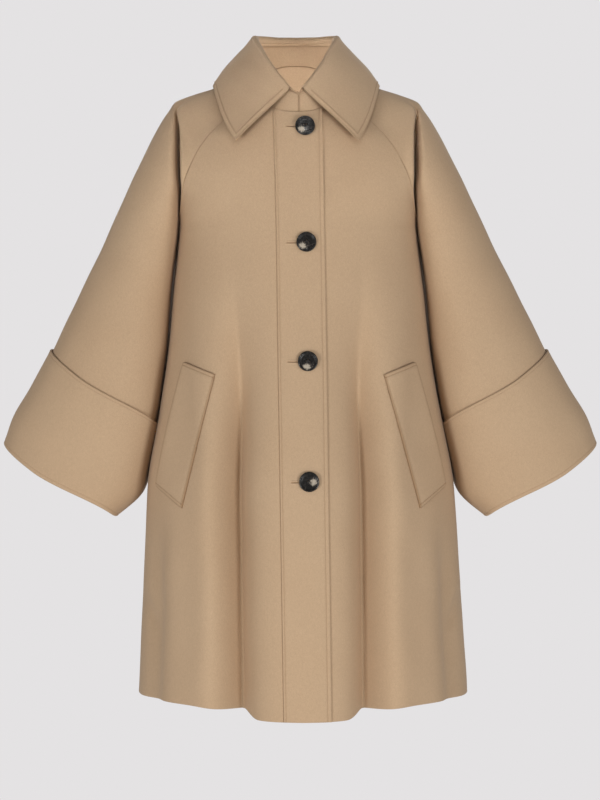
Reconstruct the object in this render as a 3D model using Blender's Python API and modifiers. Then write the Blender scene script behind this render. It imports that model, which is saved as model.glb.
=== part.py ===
"""A short swing coat in double-faced wool: raglan sleeves, turned-back cuffs, a two-piece collar.

Metres, +Z up, the front towards -Y and the coat's own right side towards -X. The origin lies
level with the base of the neck, inside the neck opening, where the shoulders carry the coat.
Every cloth piece is a wall on one shared pattern surface: rows run from the neck to the hem,
and pieces that are sewn together share the points of their seam, each pulled back from it.
"""
import math

import bmesh
import bpy
import numpy as np
from mathutils import Vector
from mathutils.bvhtree import BVHTree

CLOTH = 0.0025            # thickness of the wool
SEAM_GAP = 0.0003         # between two pieces that are sewn together
WELD = 0.000005           # points closer than this are one point
WELD_BOX = 0.0005         # points are looked up in boxes of this size
LEAN = 0.0112             # the whole coat hangs askew by this share of its height
LEAN_LEVEL = -0.50        # the height where the lean is nothing
HEM_SIDE = -0.9075        # height of the hem at the side seams

# Body, below the underarm: half width, and the depth of the centre lines in front and behind
UNDERARM = -0.225
BODY_WIDTH = (            # height, half width
    (-0.225, 0.1780),
    (-0.263, 0.1825),
    (-0.317, 0.1885),
    (-0.383, 0.1950),
    (-0.4725, 0.2080),
    (-0.516, 0.2165),
    (-0.601, 0.2295),
    (-0.683, 0.2338),
    (-0.738, 0.2368),
    (-0.827, 0.2416),
    (-0.9075, 0.2458),
)
CENTRE_FRONT = (          # height, distance in front of the origin
    (-0.054, 0.105),
    (-0.100, 0.121),
    (-0.160, 0.133),
    (-0.225, 0.141),
    (-0.350, 0.156),
    (-0.4725, 0.170),
    (-0.600, 0.184),
    (-0.750, 0.197),
    (-0.930, 0.208),
)
CENTRE_BACK = (           # height, distance behind the origin
    (0.040, 0.078),
    (0.012, 0.093),
    (-0.050, 0.113),
    (-0.120, 0.125),
    (-0.225, 0.134),
    (-0.350, 0.146),
    (-0.4725, 0.158),
    (-0.600, 0.171),
    (-0.750, 0.184),
    (-0.9075, 0.195),
)
HEM = (                   # share of the way from centre front to side, height of the hem
    (0.00, -0.9275),
    (0.16, -0.9270),
    (0.25, -0.9160),
    (0.45, -0.9090),
    (0.75, -0.9080),
    (1.00, -0.9075),
)
VENT_TOP = -0.738         # below here the side seams are left open
VENT_GAP = 0.0012         # how far each edge stands back from the seam line there
VENT_BLEND = 0.06         # height over which the gap opens
ROUNDNESS = 0.58          # handle length of the body's sections, as a share of width and depth
SHORTEST_HANDLE = 0.28    # least handle at a raglan seam, as a share of the width there

# Raglan seams from the neck to the underarm, one row for each row of the pattern:
# centre height, seam point x, y, z, then how far the panel has turned back and climbs there
FRONT_SEAM = (            # centre z, x, y, z, turn, climb
    (-0.054, 0.0646, -0.050, -0.018, 68, 34),
    (-0.075, 0.0900, -0.068, -0.043, 50, 10),
    (-0.095, 0.1090, -0.078, -0.0645, 36, 2),
    (-0.112, 0.1290, -0.086, -0.085, 28, 0),
    (-0.131, 0.1455, -0.091, -0.109, 25, 0),
    (-0.141, 0.1520, -0.0915, -0.1215, 27, 0),
    (-0.152, 0.1580, -0.091, -0.134, 31, 0),
    (-0.170, 0.1660, -0.084, -0.155, 45, 0),
    (-0.184, 0.1690, -0.070, -0.171, 63, 0),
    (-0.207, 0.1740, -0.036, -0.200, 82, 0),
    (-0.225, 0.1780, 0.000, -0.225, 90, 0),
)
BACK_SEAM = (             # centre z, x, y, z, turn, climb
    (0.040, 0.0400, 0.066, 0.033, 26, -14),
    (0.012, 0.0660, 0.083, 0.006, 24, -8),
    (-0.017, 0.0880, 0.094, -0.022, 22, -4),
    (-0.046, 0.1080, 0.102, -0.050, 22, -2),
    (-0.077, 0.1270, 0.107, -0.080, 24, 0),
    (-0.094, 0.1360, 0.108, -0.096, 26, 0),
    (-0.110, 0.1445, 0.108, -0.112, 30, 0),
    (-0.141, 0.1580, 0.100, -0.142, 45, 0),
    (-0.165, 0.1660, 0.084, -0.166, 62, 0),
    (-0.199, 0.1730, 0.044, -0.199, 82, 0),
    (-0.225, 0.1780, 0.000, -0.225, 90, 0),
)
# Top of the sleeve from the side of the neck over the shoulder, row for row with the seams,
# with the reach of the section's handle on either side of it
SHOULDER = (              # x, z, front handle, back handle
    (0.0700, 0.0150, 0.022, 0.024),
    (0.0960, 0.0060, 0.036, 0.040),
    (0.1240, -0.0054, 0.045, 0.050),
    (0.1540, -0.0155, 0.050, 0.056),
    (0.1827, -0.0270, 0.055, 0.062),
    (0.1910, -0.0385, 0.058, 0.066),
    (0.1995, -0.0505, 0.060, 0.070),
    (0.2165, -0.0800, 0.064, 0.076),
    (0.2330, -0.1120, 0.070, 0.082),
    (0.2480, -0.1420, 0.070, 0.082),
    (0.2605, -0.1690, 0.070, 0.080),
)
SHOULDER_Y = 0.004
# How the sleeve leaves the raglan seams: the handle of its section there
FRONT_LEAVE = (           # x, y, z
    (0.004, 0.012, 0.016),
    (0.004, 0.010, 0.032),
    (0.010, 0.000, 0.040),
    (0.018, -0.002, 0.044),
    (0.026, -0.004, 0.044),
    (0.027, -0.008, 0.042),
    (0.027, -0.012, 0.038),
    (0.022, -0.022, 0.030),
    (0.014, -0.034, 0.018),
    (0.006, -0.080, 0.008),
    (0.000, -0.122, 0.000),
)
BACK_LEAVE = (            # x, y, z
    (0.018, -0.010, -0.006),
    (0.018, -0.012, 0.008),
    (0.020, -0.008, 0.022),
    (0.024, -0.004, 0.034),
    (0.028, 0.002, 0.040),
    (0.030, 0.006, 0.042),
    (0.030, 0.010, 0.042),
    (0.025, 0.026, 0.034),
    (0.014, 0.042, 0.020),
    (0.006, 0.086, 0.010),
    (0.000, 0.130, 0.000),
)
# The deep crease where the hanging sleeve folds in behind the chest
ARM_CREASE = (            # place along the section in front, behind, depth in front, behind
    (0.80, 0.80, 0.000, 0.000),
    (0.80, 0.80, 0.000, 0.000),
    (0.80, 0.80, 0.000, 0.000),
    (0.80, 0.80, 0.000, 0.000),
    (0.76, 0.70, 0.002, 0.001),
    (0.58, 0.55, 0.008, 0.005),
    (0.40, 0.40, 0.015, 0.010),
    (0.24, 0.25, 0.022, 0.005),
    (0.15, 0.16, 0.018, 0.000),
    (0.12, 0.12, 0.000, 0.000),
    (0.12, 0.12, 0.000, 0.000),
)

CREASE_WIDTH = (0.05, 0.16)        # towards the seam and towards the outer line

# Sleeve below the underarm: its outer line, the room between it and the body, and its depth
SLEEVE_RINGS = (          # outer x, outer z, inner z, room, inner y, front, back depth, tilt
    (0.2885, -0.229, -0.300, 0.0020, 0.028, 0.078, 0.084, 0.0026),
    (0.3180, -0.290, -0.366, 0.0010, 0.045, 0.081, 0.087, 0.0052),
    (0.3460, -0.348, -0.437, 0.0020, 0.045, 0.084, 0.090, 0.0091),
    (0.3700, -0.398, -0.508, 0.0060, 0.045, 0.086, 0.092, 0.0130),
    (0.4005, -0.453, -0.563, 0.0070, 0.045, 0.086, 0.092, 0.0143),
    (0.4280, -0.500, -0.607, 0.0110, 0.040, 0.084, 0.090, 0.0143),
    (0.4410, -0.5355, -0.641, 0.0450, 0.020, 0.080, 0.086, 0.0143),
)
INNER_HANDLE = 1.75       # handles of a ring's section, as shares of its depth
OUTER_HANDLE = 0.88
CUFF_FIRST_RING = 3       # the turned-back cuff reaches up to this ring
CUFF_AIR_TOP = 0.0030     # space between cuff and sleeve at the cuff's free edge
CUFF_AIR_FOLD = 0.0012    # and at the fold along the sleeve's end
FOLD_ANGLES = (45, 90, 135, 180)

# Folds of the swinging skirt. Places are shares of the way from the centre line to the side
FOLD_GROWTH = 1.25        # a fold has its whole depth at 1 / 1.25 of its way down
FRONT_FOLDS = (           # top, place at top, at hem, width inwards, width outwards, depth
    (-0.250, 0.300, 0.235, 0.085, 0.034, -0.030),
    (-0.280, 0.420, 0.350, 0.080, 0.120, 0.006),
    (-0.560, 0.740, 0.700, 0.070, 0.080, -0.009),
)
BACK_FOLDS = (            # top, place at top, at hem, width inwards, width outwards, depth
    (-0.200, 0.260, 0.230, 0.090, 0.060, -0.024),
    (-0.280, 0.420, 0.400, 0.080, 0.100, 0.007),
    (-0.400, 0.640, 0.620, 0.070, 0.080, -0.016),
)

# Front band with the buttonholes, on the coat's right front, and the left front under it
BAND_SEAM = (-0.034, -0.0275)      # x at the neck and at the hem
BAND_EDGE = (0.0375, 0.0395)
UNDERLAP = (-0.026, -0.020)
COLLAR_MEET = 0.0037               # x where the two ends of the collar stand meet
BAND_LIFT = CLOTH + 0.0005         # the band lies this far out on the left front

# Collar: half of the ring from the centre front to the centre back
STAND_SHARE = 0.75                 # the stand's share of the height from the neck seam to the roll
ROLL_RADIUS = 0.0037               # of the visible side, where the fall turns over
COLLAR = (                # roll x, y, z, outer edge x, y, z, fullness
    (0.0095, -0.0965, -0.0185, 0.0885, -0.1290, -0.0995, 0.002),
    (0.0235, -0.0860, 0.0000, 0.0990, -0.1080, -0.0790, 0.003),
    (0.0380, -0.0660, 0.0226, 0.1090, -0.0850, -0.0540, 0.0035),
    (0.0470, -0.0450, 0.0400, 0.1170, -0.0560, -0.0270, 0.004),
    (0.0545, -0.0180, 0.0570, 0.1225, -0.0200, -0.0060, 0.0045),
    (0.0595, 0.0120, 0.0710, 0.1235, 0.0180, -0.0020, 0.0045),
    (0.0600, 0.0340, 0.0770, 0.1140, 0.0600, 0.0000, 0.0045),
    (0.0430, 0.0550, 0.0790, 0.0800, 0.0930, 0.0030, 0.005),
    (0.0220, 0.0640, 0.0790, 0.0400, 0.1090, 0.0040, 0.005),
    (0.0000, 0.0670, 0.0790, 0.0000, 0.1130, 0.0040, 0.005),
)
COLLAR_STATIONS = 14               # on each half
FALL_SHARES = (0.15, 0.35, 0.55, 0.75, 0.90, 1.0)
BULGE_PEAK = 27 / 4                # makes the fall's bulge as high as its fullness

# Slanted welt pockets: corners of the coat's right one as seen from the front
POCKET = (                # x, z
    (0.1681, -0.416),
    (0.1212, -0.436),
    (0.1710, -0.629),
    (0.2118, -0.598),
)
POCKET_ROOM = 0.0012      # between a welt and the front below it
FALL_ROOM = 0.0008        # between the fall and what it lies on
BUTTON_ROOM = 0.0005

BUTTON_HOLE_RADIUS = 0.00105
BUTTON_HOLE_PITCH = 0.0035
BUTTON_X = 0.0120
BUTTONS = (               # height, turn of the four holes in degrees
    (-0.0770, 0),
    (-0.2470, 40),
    (-0.4185, 40),
    (-0.5900, 30),
)

SIDE_COLUMNS = 14
BACK_COLUMNS = 13
SKIRT_ROWS = 12
CHEST_COLUMNS = 3
ARM_COLUMNS = 7
ARM_CROWDING = 1.15       # above 1, the sleeve's columns lie closer together at its crease
FOLD_CROWDING = 2.2       # how much closer the body's columns lie at its deep folds
FOLD_CROWD_WIDTH = 0.10
INNER_COLUMNS = (-0.010, 0.020)    # x of two more columns under the band
MEET_GAP = 0.0008         # from the point where the stand ends meet to the column on either side
LIFT_COLUMNS = 5          # the front comes up to the band's level over this many columns
POCKET_ROWS = 11
POCKET_COLUMNS = 5
BUTTON_STEPS = 20
DRILL_LENGTH = 0.02
DRILL_SIDES = 6


def vec(*numbers):
    return np.array(numbers, float)


def unit(v):
    return v / np.linalg.norm(v)


def smooth(u):
    u = min(max(u, 0.0), 1.0)
    return u * u * (3 - 2 * u)


def through(table, at):
    """Value at a knot on the smooth curve through a table's rows, without overshoot."""
    rows = np.array(sorted(table), float)
    knots, values = rows[:, 0], rows[:, 1:]
    steps = np.diff(knots)[:, None]
    slopes = np.diff(values, axis=0) / steps
    tangents = np.vstack([slopes[:1], np.zeros_like(slopes[1:]), slopes[-1:]])
    both = slopes[:-1] * slopes[1:]
    total = slopes[:-1] + slopes[1:]
    tangents[1:-1] = np.where(both > 0, 2 * both / np.where(both > 0, total, 1), 0)
    i = int(np.clip(np.searchsorted(knots, at) - 1, 0, len(knots) - 2))
    step = steps[i, 0]
    u = min(max((at - knots[i]) / step, 0.0), 1.0)
    value = (values[i] * (1 + 2 * u) * (1 - u) ** 2 + values[i + 1] * u * u * (3 - 2 * u)
             + step * (tangents[i] * u * (1 - u) ** 2 - tangents[i + 1] * u * u * (1 - u)))
    return value if len(value) > 1 else float(value[0])


def bezier(p, t):
    return (p[0] * (1 - t) ** 3 + 3 * p[1] * (1 - t) ** 2 * t
            + 3 * p[2] * (1 - t) * t * t + p[3] * t ** 3)


def hang(point):
    """The coat hangs a little askew: higher points sit further towards its right."""
    return point - vec(LEAN * (point[2] - LEAN_LEVEL), 0, 0)


# Body surface


def skirt_height(row):
    return UNDERARM + (HEM_SIDE - UNDERARM) * row / SKIRT_ROWS


def body_section(row, back):
    """Control points of one half section, from the centre line to the seam at its side."""
    centre_line = CENTRE_BACK if back else CENTRE_FRONT
    facing = 1 if back else -1
    seams = BACK_SEAM if back else FRONT_SEAM
    last = len(seams) - 1
    if row <= last:
        centre_z, x, y, z, turn, climb = seams[row]
        turn, climb = math.radians(turn), math.radians(climb)
        start = vec(0, facing * through(centre_line, centre_z), centre_z)
        end = vec(x, y, z)
        width = end[0]
        leave = vec(math.cos(turn) * math.cos(climb), -facing * math.sin(turn) * math.cos(climb),
                    math.sin(climb))
        reach = ROUNDNESS * (abs(start[1]) - abs(y)) / (math.sin(turn) * math.cos(climb))
        reach = max(reach, SHORTEST_HANDLE * width)
        return start, start + vec(ROUNDNESS * width, 0, 0), end - leave * reach, end
    z = skirt_height(row - last)
    width, depth = through(BODY_WIDTH, z), through(centre_line, z)
    start, end = vec(0, facing * depth, z), vec(width, 0, z)
    return (start, start + vec(ROUNDNESS * width, 0, 0),
            end + vec(0, facing * ROUNDNESS * depth, 0), end)


def fold_depth(folds, place, z):
    total = 0.0
    for top, place_top, place_hem, inwards, outwards, depth in folds:
        down = (top - z) / (top - HEM_SIDE)
        if down <= 0:
            continue
        offset = place - (place_top + (place_hem - place_top) * down)
        width = inwards if offset < 0 else outwards
        total += depth * smooth(down * FOLD_GROWTH) * math.exp(-(offset / width) ** 2)
    return total


def body_point(row, place, back, side):
    """Point of the body at a share of the way from the centre line to its side."""
    points = body_section(row, back)
    point = bezier(points, place)
    last = len(FRONT_SEAM) - 1
    if row > last:
        share = (row - last) / SKIRT_ROWS
        hem = HEM_SIDE if back else through(HEM, place)
        point[2] = UNDERARM + (hem - UNDERARM) * share
        ahead = bezier(points, min(place + 0.01, 1)) - bezier(points, max(place - 0.01, 0))
        out = unit(vec(-ahead[1], ahead[0], 0)) * (1 if back else -1)
        if place > 0.99:
            out = vec(1, 0, 0)
        if place < 0.01:
            out = vec(0, 1 if back else -1, 0)
        folds = BACK_FOLDS if back else FRONT_FOLDS
        point = point + out * fold_depth(folds, place, skirt_height(row - last))
    point[0] *= side
    return point


def place_at(row, x):
    """Place on the front section whose point lies at this distance from the centre."""
    points = body_section(row, False)
    low, high = 0.0, 1.0
    for _ in range(40):
        middle = (low + high) / 2
        if bezier(points, middle)[0] < abs(x):
            low = middle
        else:
            high = middle
    return (low + high) / 2


def front_columns(count, place_of_fold):
    """Shares from 0 to 1, closer together about the deep fold."""
    fine = np.linspace(0, 1, 401)
    density = 1 + FOLD_CROWDING * np.exp(-((fine - place_of_fold) / FOLD_CROWD_WIDTH) ** 2)
    total = np.concatenate([[0], np.cumsum((density[1:] + density[:-1]) / 2)])
    return np.interp(np.linspace(0, total[-1], count + 1), total, fine)


ROWS = len(FRONT_SEAM) + SKIRT_ROWS


def line_at(ends, row):
    return ends[0] + (ends[1] - ends[0]) * row / (ROWS - 1)


def front_grid():
    """Both fronts as one grid, from the right side seam to the left one, with named columns."""
    shares = front_columns(SIDE_COLUMNS, 0.17)
    grid = []
    for row in range(ROWS):
        seam, under = line_at(BAND_SEAM, row), line_at(UNDERLAP, row)
        edge = line_at(BAND_EDGE, row)
        right = place_at(row, seam)
        left = place_at(row, edge)
        line = [body_point(row, right + (1 - right) * s, False, -1) for s in shares[::-1]]
        for x in (under, INNER_COLUMNS[0], COLLAR_MEET - MEET_GAP, COLLAR_MEET + MEET_GAP,
                  INNER_COLUMNS[1]):
            line.append(body_point(row, place_at(row, x), False, -1 if x < 0 else 1))
        line += [body_point(row, left + (1 - left) * s, False, 1) for s in shares]
        grid.append(line)
    columns = {"seam": SIDE_COLUMNS, "underlap": SIDE_COLUMNS + 1, "meet": SIDE_COLUMNS + 3,
               "edge": SIDE_COLUMNS + 6}
    return np.array(grid), columns


def back_grid():
    """The back as one grid, from the left side seam to the right one."""
    shares = front_columns(BACK_COLUMNS, 0.30)
    grid = []
    for row in range(ROWS):
        line = [body_point(row, s, True, 1) for s in shares[::-1]]
        line += [body_point(row, s, True, -1) for s in shares[1:]]
        grid.append(line)
    return np.array(grid)


# Sleeve surface


def seam_normal(row, back):
    """Outward normal of the body at the raglan seam."""
    seams = np.array(BACK_SEAM if back else FRONT_SEAM)[:, 1:4]
    along = unit(seams[min(row + 1, len(seams) - 1)] - seams[max(row - 1, 0)])
    section = body_section(row, back)
    across = unit(section[3] - section[2])
    normal = np.cross(along, across) if not back else np.cross(across, along)
    return unit(normal)


def sleeve_half(row, back):
    """One half of a sleeve section, from its seam or inner line to the outer line."""
    last = len(FRONT_SEAM) - 1
    facing = 1 if back else -1
    if row <= last:
        start = np.array((BACK_SEAM if back else FRONT_SEAM)[row][1:4])
        leave = np.array((BACK_LEAVE if back else FRONT_LEAVE)[row])
        normal = seam_normal(row, back)
        flat = 1 - smooth((row - 5) / 3)
        leave = leave - normal * np.dot(leave, normal) * flat
        x, z, front, behind = SHOULDER[row]
        end = vec(x, SHOULDER_Y, z)
        points = (start, start + leave, end + vec(0, facing * (behind if back else front), 0), end)
        front_place, back_place, front_depth, back_depth = ARM_CREASE[row]
        return points, (back_place if back else front_place), (back_depth if back else front_depth)
    x, z, inner_z, room, inner_y, front, behind, tilt = SLEEVE_RINGS[row - last - 1]
    inner = vec(through(BODY_WIDTH, inner_z) + room, inner_y, inner_z)
    outer = vec(x, SHOULDER_Y, z)
    depth = behind if back else front
    drop = vec(0, 0, tilt * facing)
    inner_handle = vec(0, facing * depth * INNER_HANDLE - inner_y * 0.7, 0) + drop
    outer_handle = vec(0, facing * depth * OUTER_HANDLE, 0) + drop
    crease = ARM_CREASE[last][0]
    return (inner, inner + inner_handle, outer + outer_handle, outer), crease, 0.0


def sleeve_line(row, back):
    """Points of half a sleeve section, crowded at the crease, from its seam outwards."""
    points, crease, depth = sleeve_half(row, back)
    facing = 1 if back else -1
    shares = [crease * i / CHEST_COLUMNS for i in range(CHEST_COLUMNS)]
    shares += [crease + (1 - crease) * (i / ARM_COLUMNS) ** ARM_CROWDING
               for i in range(ARM_COLUMNS + 1)]
    line = []
    for share in shares:
        offset = share - crease
        width = CREASE_WIDTH[0] if offset < 0 else CREASE_WIDTH[1]
        push = depth * math.exp(-(offset / width) ** 2)
        line.append(bezier(points, share) - vec(0, facing * push, 0))
    return line


SLEEVE_ROWS = len(FRONT_SEAM) + len(SLEEVE_RINGS)
SLEEVE_COLUMNS = 2 * (CHEST_COLUMNS + ARM_COLUMNS)


def sleeve_grid(side):
    """A sleeve from the front seam over the outer line to the back seam."""
    grid = []
    for row in range(SLEEVE_ROWS):
        line = sleeve_line(row, False) + sleeve_line(row, True)[-2::-1]
        grid.append([point * vec(side, 1, 1) for point in line])
    return np.array(grid)


# Walls


def cell_triangles(r, c, points):
    """The two triangles of a grid's cell, across its shorter diagonal."""
    a, b = (r, c), (r, c + 1)
    d, e = (r + 1, c), (r + 1, c + 1)
    if np.linalg.norm(points[a] - points[e]) <= np.linalg.norm(points[b] - points[d]):
        return [(a, d, e), (a, e, b)]
    return [(a, d, b), (b, d, e)]


class Surface:
    """Triangles on numbered points, where points that coincide count as one."""

    def __init__(self):
        self.points = []
        self.boxes = {}
        self.faces = []

    def number(self, point):
        """Number of the point that lies here already, or of a new one."""
        box = np.floor(point / WELD_BOX).astype(int)
        for step in np.ndindex(3, 3, 3):
            for known in self.boxes.get(tuple(box + step - 1), ()):
                if np.linalg.norm(self.points[known] - point) < WELD:
                    return known
        self.boxes.setdefault(tuple(box), []).append(len(self.points))
        self.points.append(np.array(point, float))
        return len(self.points) - 1

    def add(self, grid, flip=False):
        """Add a grid; return its point numbers and its faces, column by column."""
        rows, columns = grid.shape[:2]
        numbers = np.array([[self.number(grid[r, c]) for c in range(columns)]
                            for r in range(rows)])
        strips = []
        for c in range(columns - 1):
            strip = []
            for r in range(rows - 1):
                for corners in cell_triangles(r, c, grid):
                    face = tuple(int(numbers[corner]) for corner in corners)
                    if len(set(face)) == 3:
                        strip.append(face[::-1] if flip else face)
            strips.append(strip)
            self.faces += strip
        return numbers, strips

    def normals(self):
        total = np.zeros((len(self.points), 3))
        for a, b, c in self.faces:
            p, q, r = self.points[a], self.points[b], self.points[c]
            ab, ac, bc = unit(q - p), unit(r - p), unit(r - q)
            normal = unit(np.cross(q - p, r - p))
            total[a] += normal * math.acos(np.clip(np.dot(ab, ac), -1, 1))
            total[b] += normal * math.acos(np.clip(np.dot(-ab, bc), -1, 1))
            total[c] += normal * math.acos(np.clip(np.dot(ac, bc), -1, 1))
        return total / np.maximum(np.linalg.norm(total, axis=1), 1e-12)[:, None]


def pull_back(points, normals, faces, amount):
    """Move the free edge of a piece back from the seam line, square to the edge."""
    count = {}
    for face in faces:
        for a, b in zip(face, face[1:] + face[:1]):
            count[(a, b)] = count.get((a, b), 0) + 1
    inwards = {}
    for a, b in count:
        if (b, a) in count:
            continue
        along = unit(points[b] - points[a])
        for end in (a, b):
            inwards.setdefault(end, []).append(unit(np.cross(normals[end], along)))
    moved = points.copy()
    for end, directions in inwards.items():
        total = sum(directions)
        share = max(np.dot(total, directions[0]), 0.5)
        moved[end] = points[end] + total * amount / share
    edges = [(a, b) for a, b in count if (b, a) not in count]
    return moved, edges


def build_wall(name, surface, normals, faces, colour, lift=None, shift=None):
    """One closed piece of cloth: outer face, inner face and the cut edge all round."""
    used = sorted({number for face in faces for number in face})
    index = {number: i for i, number in enumerate(used)}
    points = np.array([surface.points[number] for number in used])
    outward = np.array([normals[number] for number in used])
    if lift is not None:
        points = points + outward * np.array([lift(number) for number in used])[:, None]
    own = [tuple(index[number] for number in face) for face in faces]
    points, edges = pull_back(points, outward, own, SEAM_GAP / 2)
    if shift is not None:
        points = points + np.array([shift(number) for number in used])
    outer = [hang(point) for point in points]
    inner = [hang(point - normal * CLOTH) for point, normal in zip(points, outward)]
    count = len(outer)
    everything = list(own)
    everything += [(c + count, b + count, a + count) for a, b, c in own]
    for a, b in edges:
        if used[a] < used[b]:
            everything += [(b, a, a + count), (b, a + count, b + count)]
        else:
            everything += [(b, a, b + count), (a, a + count, b + count)]
    return add_mesh(name, outer + inner, everything, colour)


def add_mesh(name, points, faces, colour, rough=0.9):
    mesh = bpy.data.meshes.new(name)
    mesh.from_pydata([tuple(point) for point in points], [], faces)
    mesh.validate()
    mesh.update()
    obj = bpy.data.objects.new(name, mesh)
    coat.objects.link(obj)
    obj.data.materials.append(cloth_material(name, colour, rough))
    return obj


def cloth_material(name, colour, rough):
    material = bpy.data.materials.new(name)
    material.use_nodes = True
    shader = material.node_tree.nodes["Principled BSDF"]
    shader.inputs["Base Color"].default_value = (*colour, 1)
    shader.inputs["Roughness"].default_value = rough
    return material


CAMEL = (0.50, 0.33, 0.19)
HORN = (0.03, 0.028, 0.03)


def joined(strips):
    return [face for strip in strips for face in strip]


def lay_on(point, tree, room):
    """Move a point out of the cloth below it until it has this much room."""
    place, normal, _, _ = tree.find_nearest(Vector(point))
    height = (Vector(point) - place).dot(normal)
    if height < room:
        return point + np.array(normal) * (room - height)
    return point


def front_height(tree, x, z):
    """The point of the fronts at this place as seen from the front, and its normal."""
    place, normal, _, _ = tree.ray_cast(Vector((x, -1.0, z)), Vector((0, 1, 0)))
    return np.array(place), np.array(normal)


def vent_shift(shell, numbers, facing):
    """Stand the side edges of a panel back from the open part of the side seam."""
    moved = {}
    for number in numbers:
        down = (VENT_TOP - shell.points[number][2]) / VENT_BLEND
        moved[int(number)] = vec(0, facing * VENT_GAP * smooth(down), 0)
    return lambda number: moved.get(number, vec(0, 0, 0))


def build_fronts(shell, normals, strips, column):
    """Right front and its band raised over the left front, which runs on beneath them."""
    right = joined(strips[:column["seam"]])
    band = joined(strips[column["seam"]:column["edge"]])
    left = joined(strips[column["underlap"]:])
    raised = {}
    for c in range(column["edge"] + 1):
        share = (column["seam"] - c) / LIFT_COLUMNS
        for number in column["numbers"][:, c]:
            raised[int(number)] = BAND_LIFT * (1 - smooth(share))
    numbers = column["numbers"]
    build_wall("front_right", shell, normals, right, CAMEL, lift=lambda n: raised.get(n, 0.0),
               shift=vent_shift(shell, numbers[:, 0], -1))
    build_wall("front_band", shell, normals, band, CAMEL, lift=lambda n: BAND_LIFT)
    build_wall("front_left", shell, normals, left, CAMEL,
               shift=vent_shift(shell, numbers[:, -1], -1))
    points = [Vector(point + normal * raised.get(i, 0.0))
              for i, (point, normal) in enumerate(zip(shell.points, normals))]
    return BVHTree.FromPolygons(points, shell.faces)


def build_cuff(name, side, grid, numbers, normals):
    """The sleeve's end turned up on the outside, with its fold under the sleeve's edge."""
    first = len(FRONT_SEAM) + CUFF_FIRST_RING
    rows = []
    for ring in range(first, SLEEVE_ROWS):
        share = (ring - first) / (SLEEVE_ROWS - 1 - first)
        air = CUFF_AIR_TOP + (CUFF_AIR_FOLD - CUFF_AIR_TOP) * share
        rows.append([grid[ring, c] + normals[numbers[ring, c]] * (air + CLOTH)
                     for c in range(SLEEVE_COLUMNS)])
    end, before = grid[-1], grid[-2]
    middle = CUFF_AIR_FOLD / 2
    for angle in FOLD_ANGLES:
        turn = math.radians(angle)
        line = []
        for c in range(SLEEVE_COLUMNS):
            down = unit(end[c] - before[c])
            out = normals[numbers[-1, c]]
            line.append(end[c] + out * (middle + (middle + CLOTH) * math.cos(turn))
                        + down * ((middle + CLOTH) * math.sin(turn) + SEAM_GAP))
        rows.append(line)
    rows = [row + row[:1] for row in rows]
    surface = Surface()
    own, strips = surface.add(np.array(rows), flip=side < 0)
    own_normals = surface.normals()
    for step, angle in enumerate(FOLD_ANGLES):
        turn = math.radians(angle)
        for c in range(SLEEVE_COLUMNS):
            down = unit(end[c] - before[c])
            out = normals[numbers[-1, c]]
            down = unit(down - out * np.dot(down, out))
            own_normals[own[step - len(FOLD_ANGLES), c]] = (out * math.cos(turn)
                                                           + down * math.sin(turn))
    return build_wall(name, surface, own_normals, joined(strips), CAMEL)


def neck_ring(front, column, back, right_sleeve, left_sleeve):
    """Points of the neck seam from the right end of the stand round to the left one."""
    first, last, edge = column["meet"], column["seam"], column["edge"]
    ring = list(front[0][first:last - 1:-1])
    ring += list(front[0][:last][::-1][3::4])
    ring += list(right_sleeve[0][3:-1:3])
    ring += list(back[0][::-1][::3])
    ring += list(left_sleeve[0][::-1][3:-1:3])
    ring += list(front[0][edge + 1:][::-1][::4])
    ring += list(front[0][edge:first:-1])
    return np.array(ring)


def along_line(points, shares):
    """Points at these shares of a line's length."""
    steps = np.linalg.norm(np.diff(points, axis=0), axis=1)
    lengths = np.concatenate([[0], np.cumsum(steps)]) / steps.sum()
    return np.array([[np.interp(share, lengths, points[:, k]) for k in range(3)]
                     for share in shares])


def collar_stations(ring):
    """Neck seam, roll and outer edge at each station, from the right end to the left one."""
    table = [(i / (len(COLLAR) - 1),) + row for i, row in enumerate(COLLAR)]
    half = [through(table, i / COLLAR_STATIONS) for i in range(COLLAR_STATIONS + 1)]
    mirrored = [row * vec(-1, 1, 1, -1, 1, 1, 1) for row in half]
    rows = np.array(mirrored + half[-2::-1])
    shares = np.linspace(0, 1, len(rows))
    return along_line(ring, shares), rows[:, :3], rows[:, 3:6], rows[:, 6]


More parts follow.
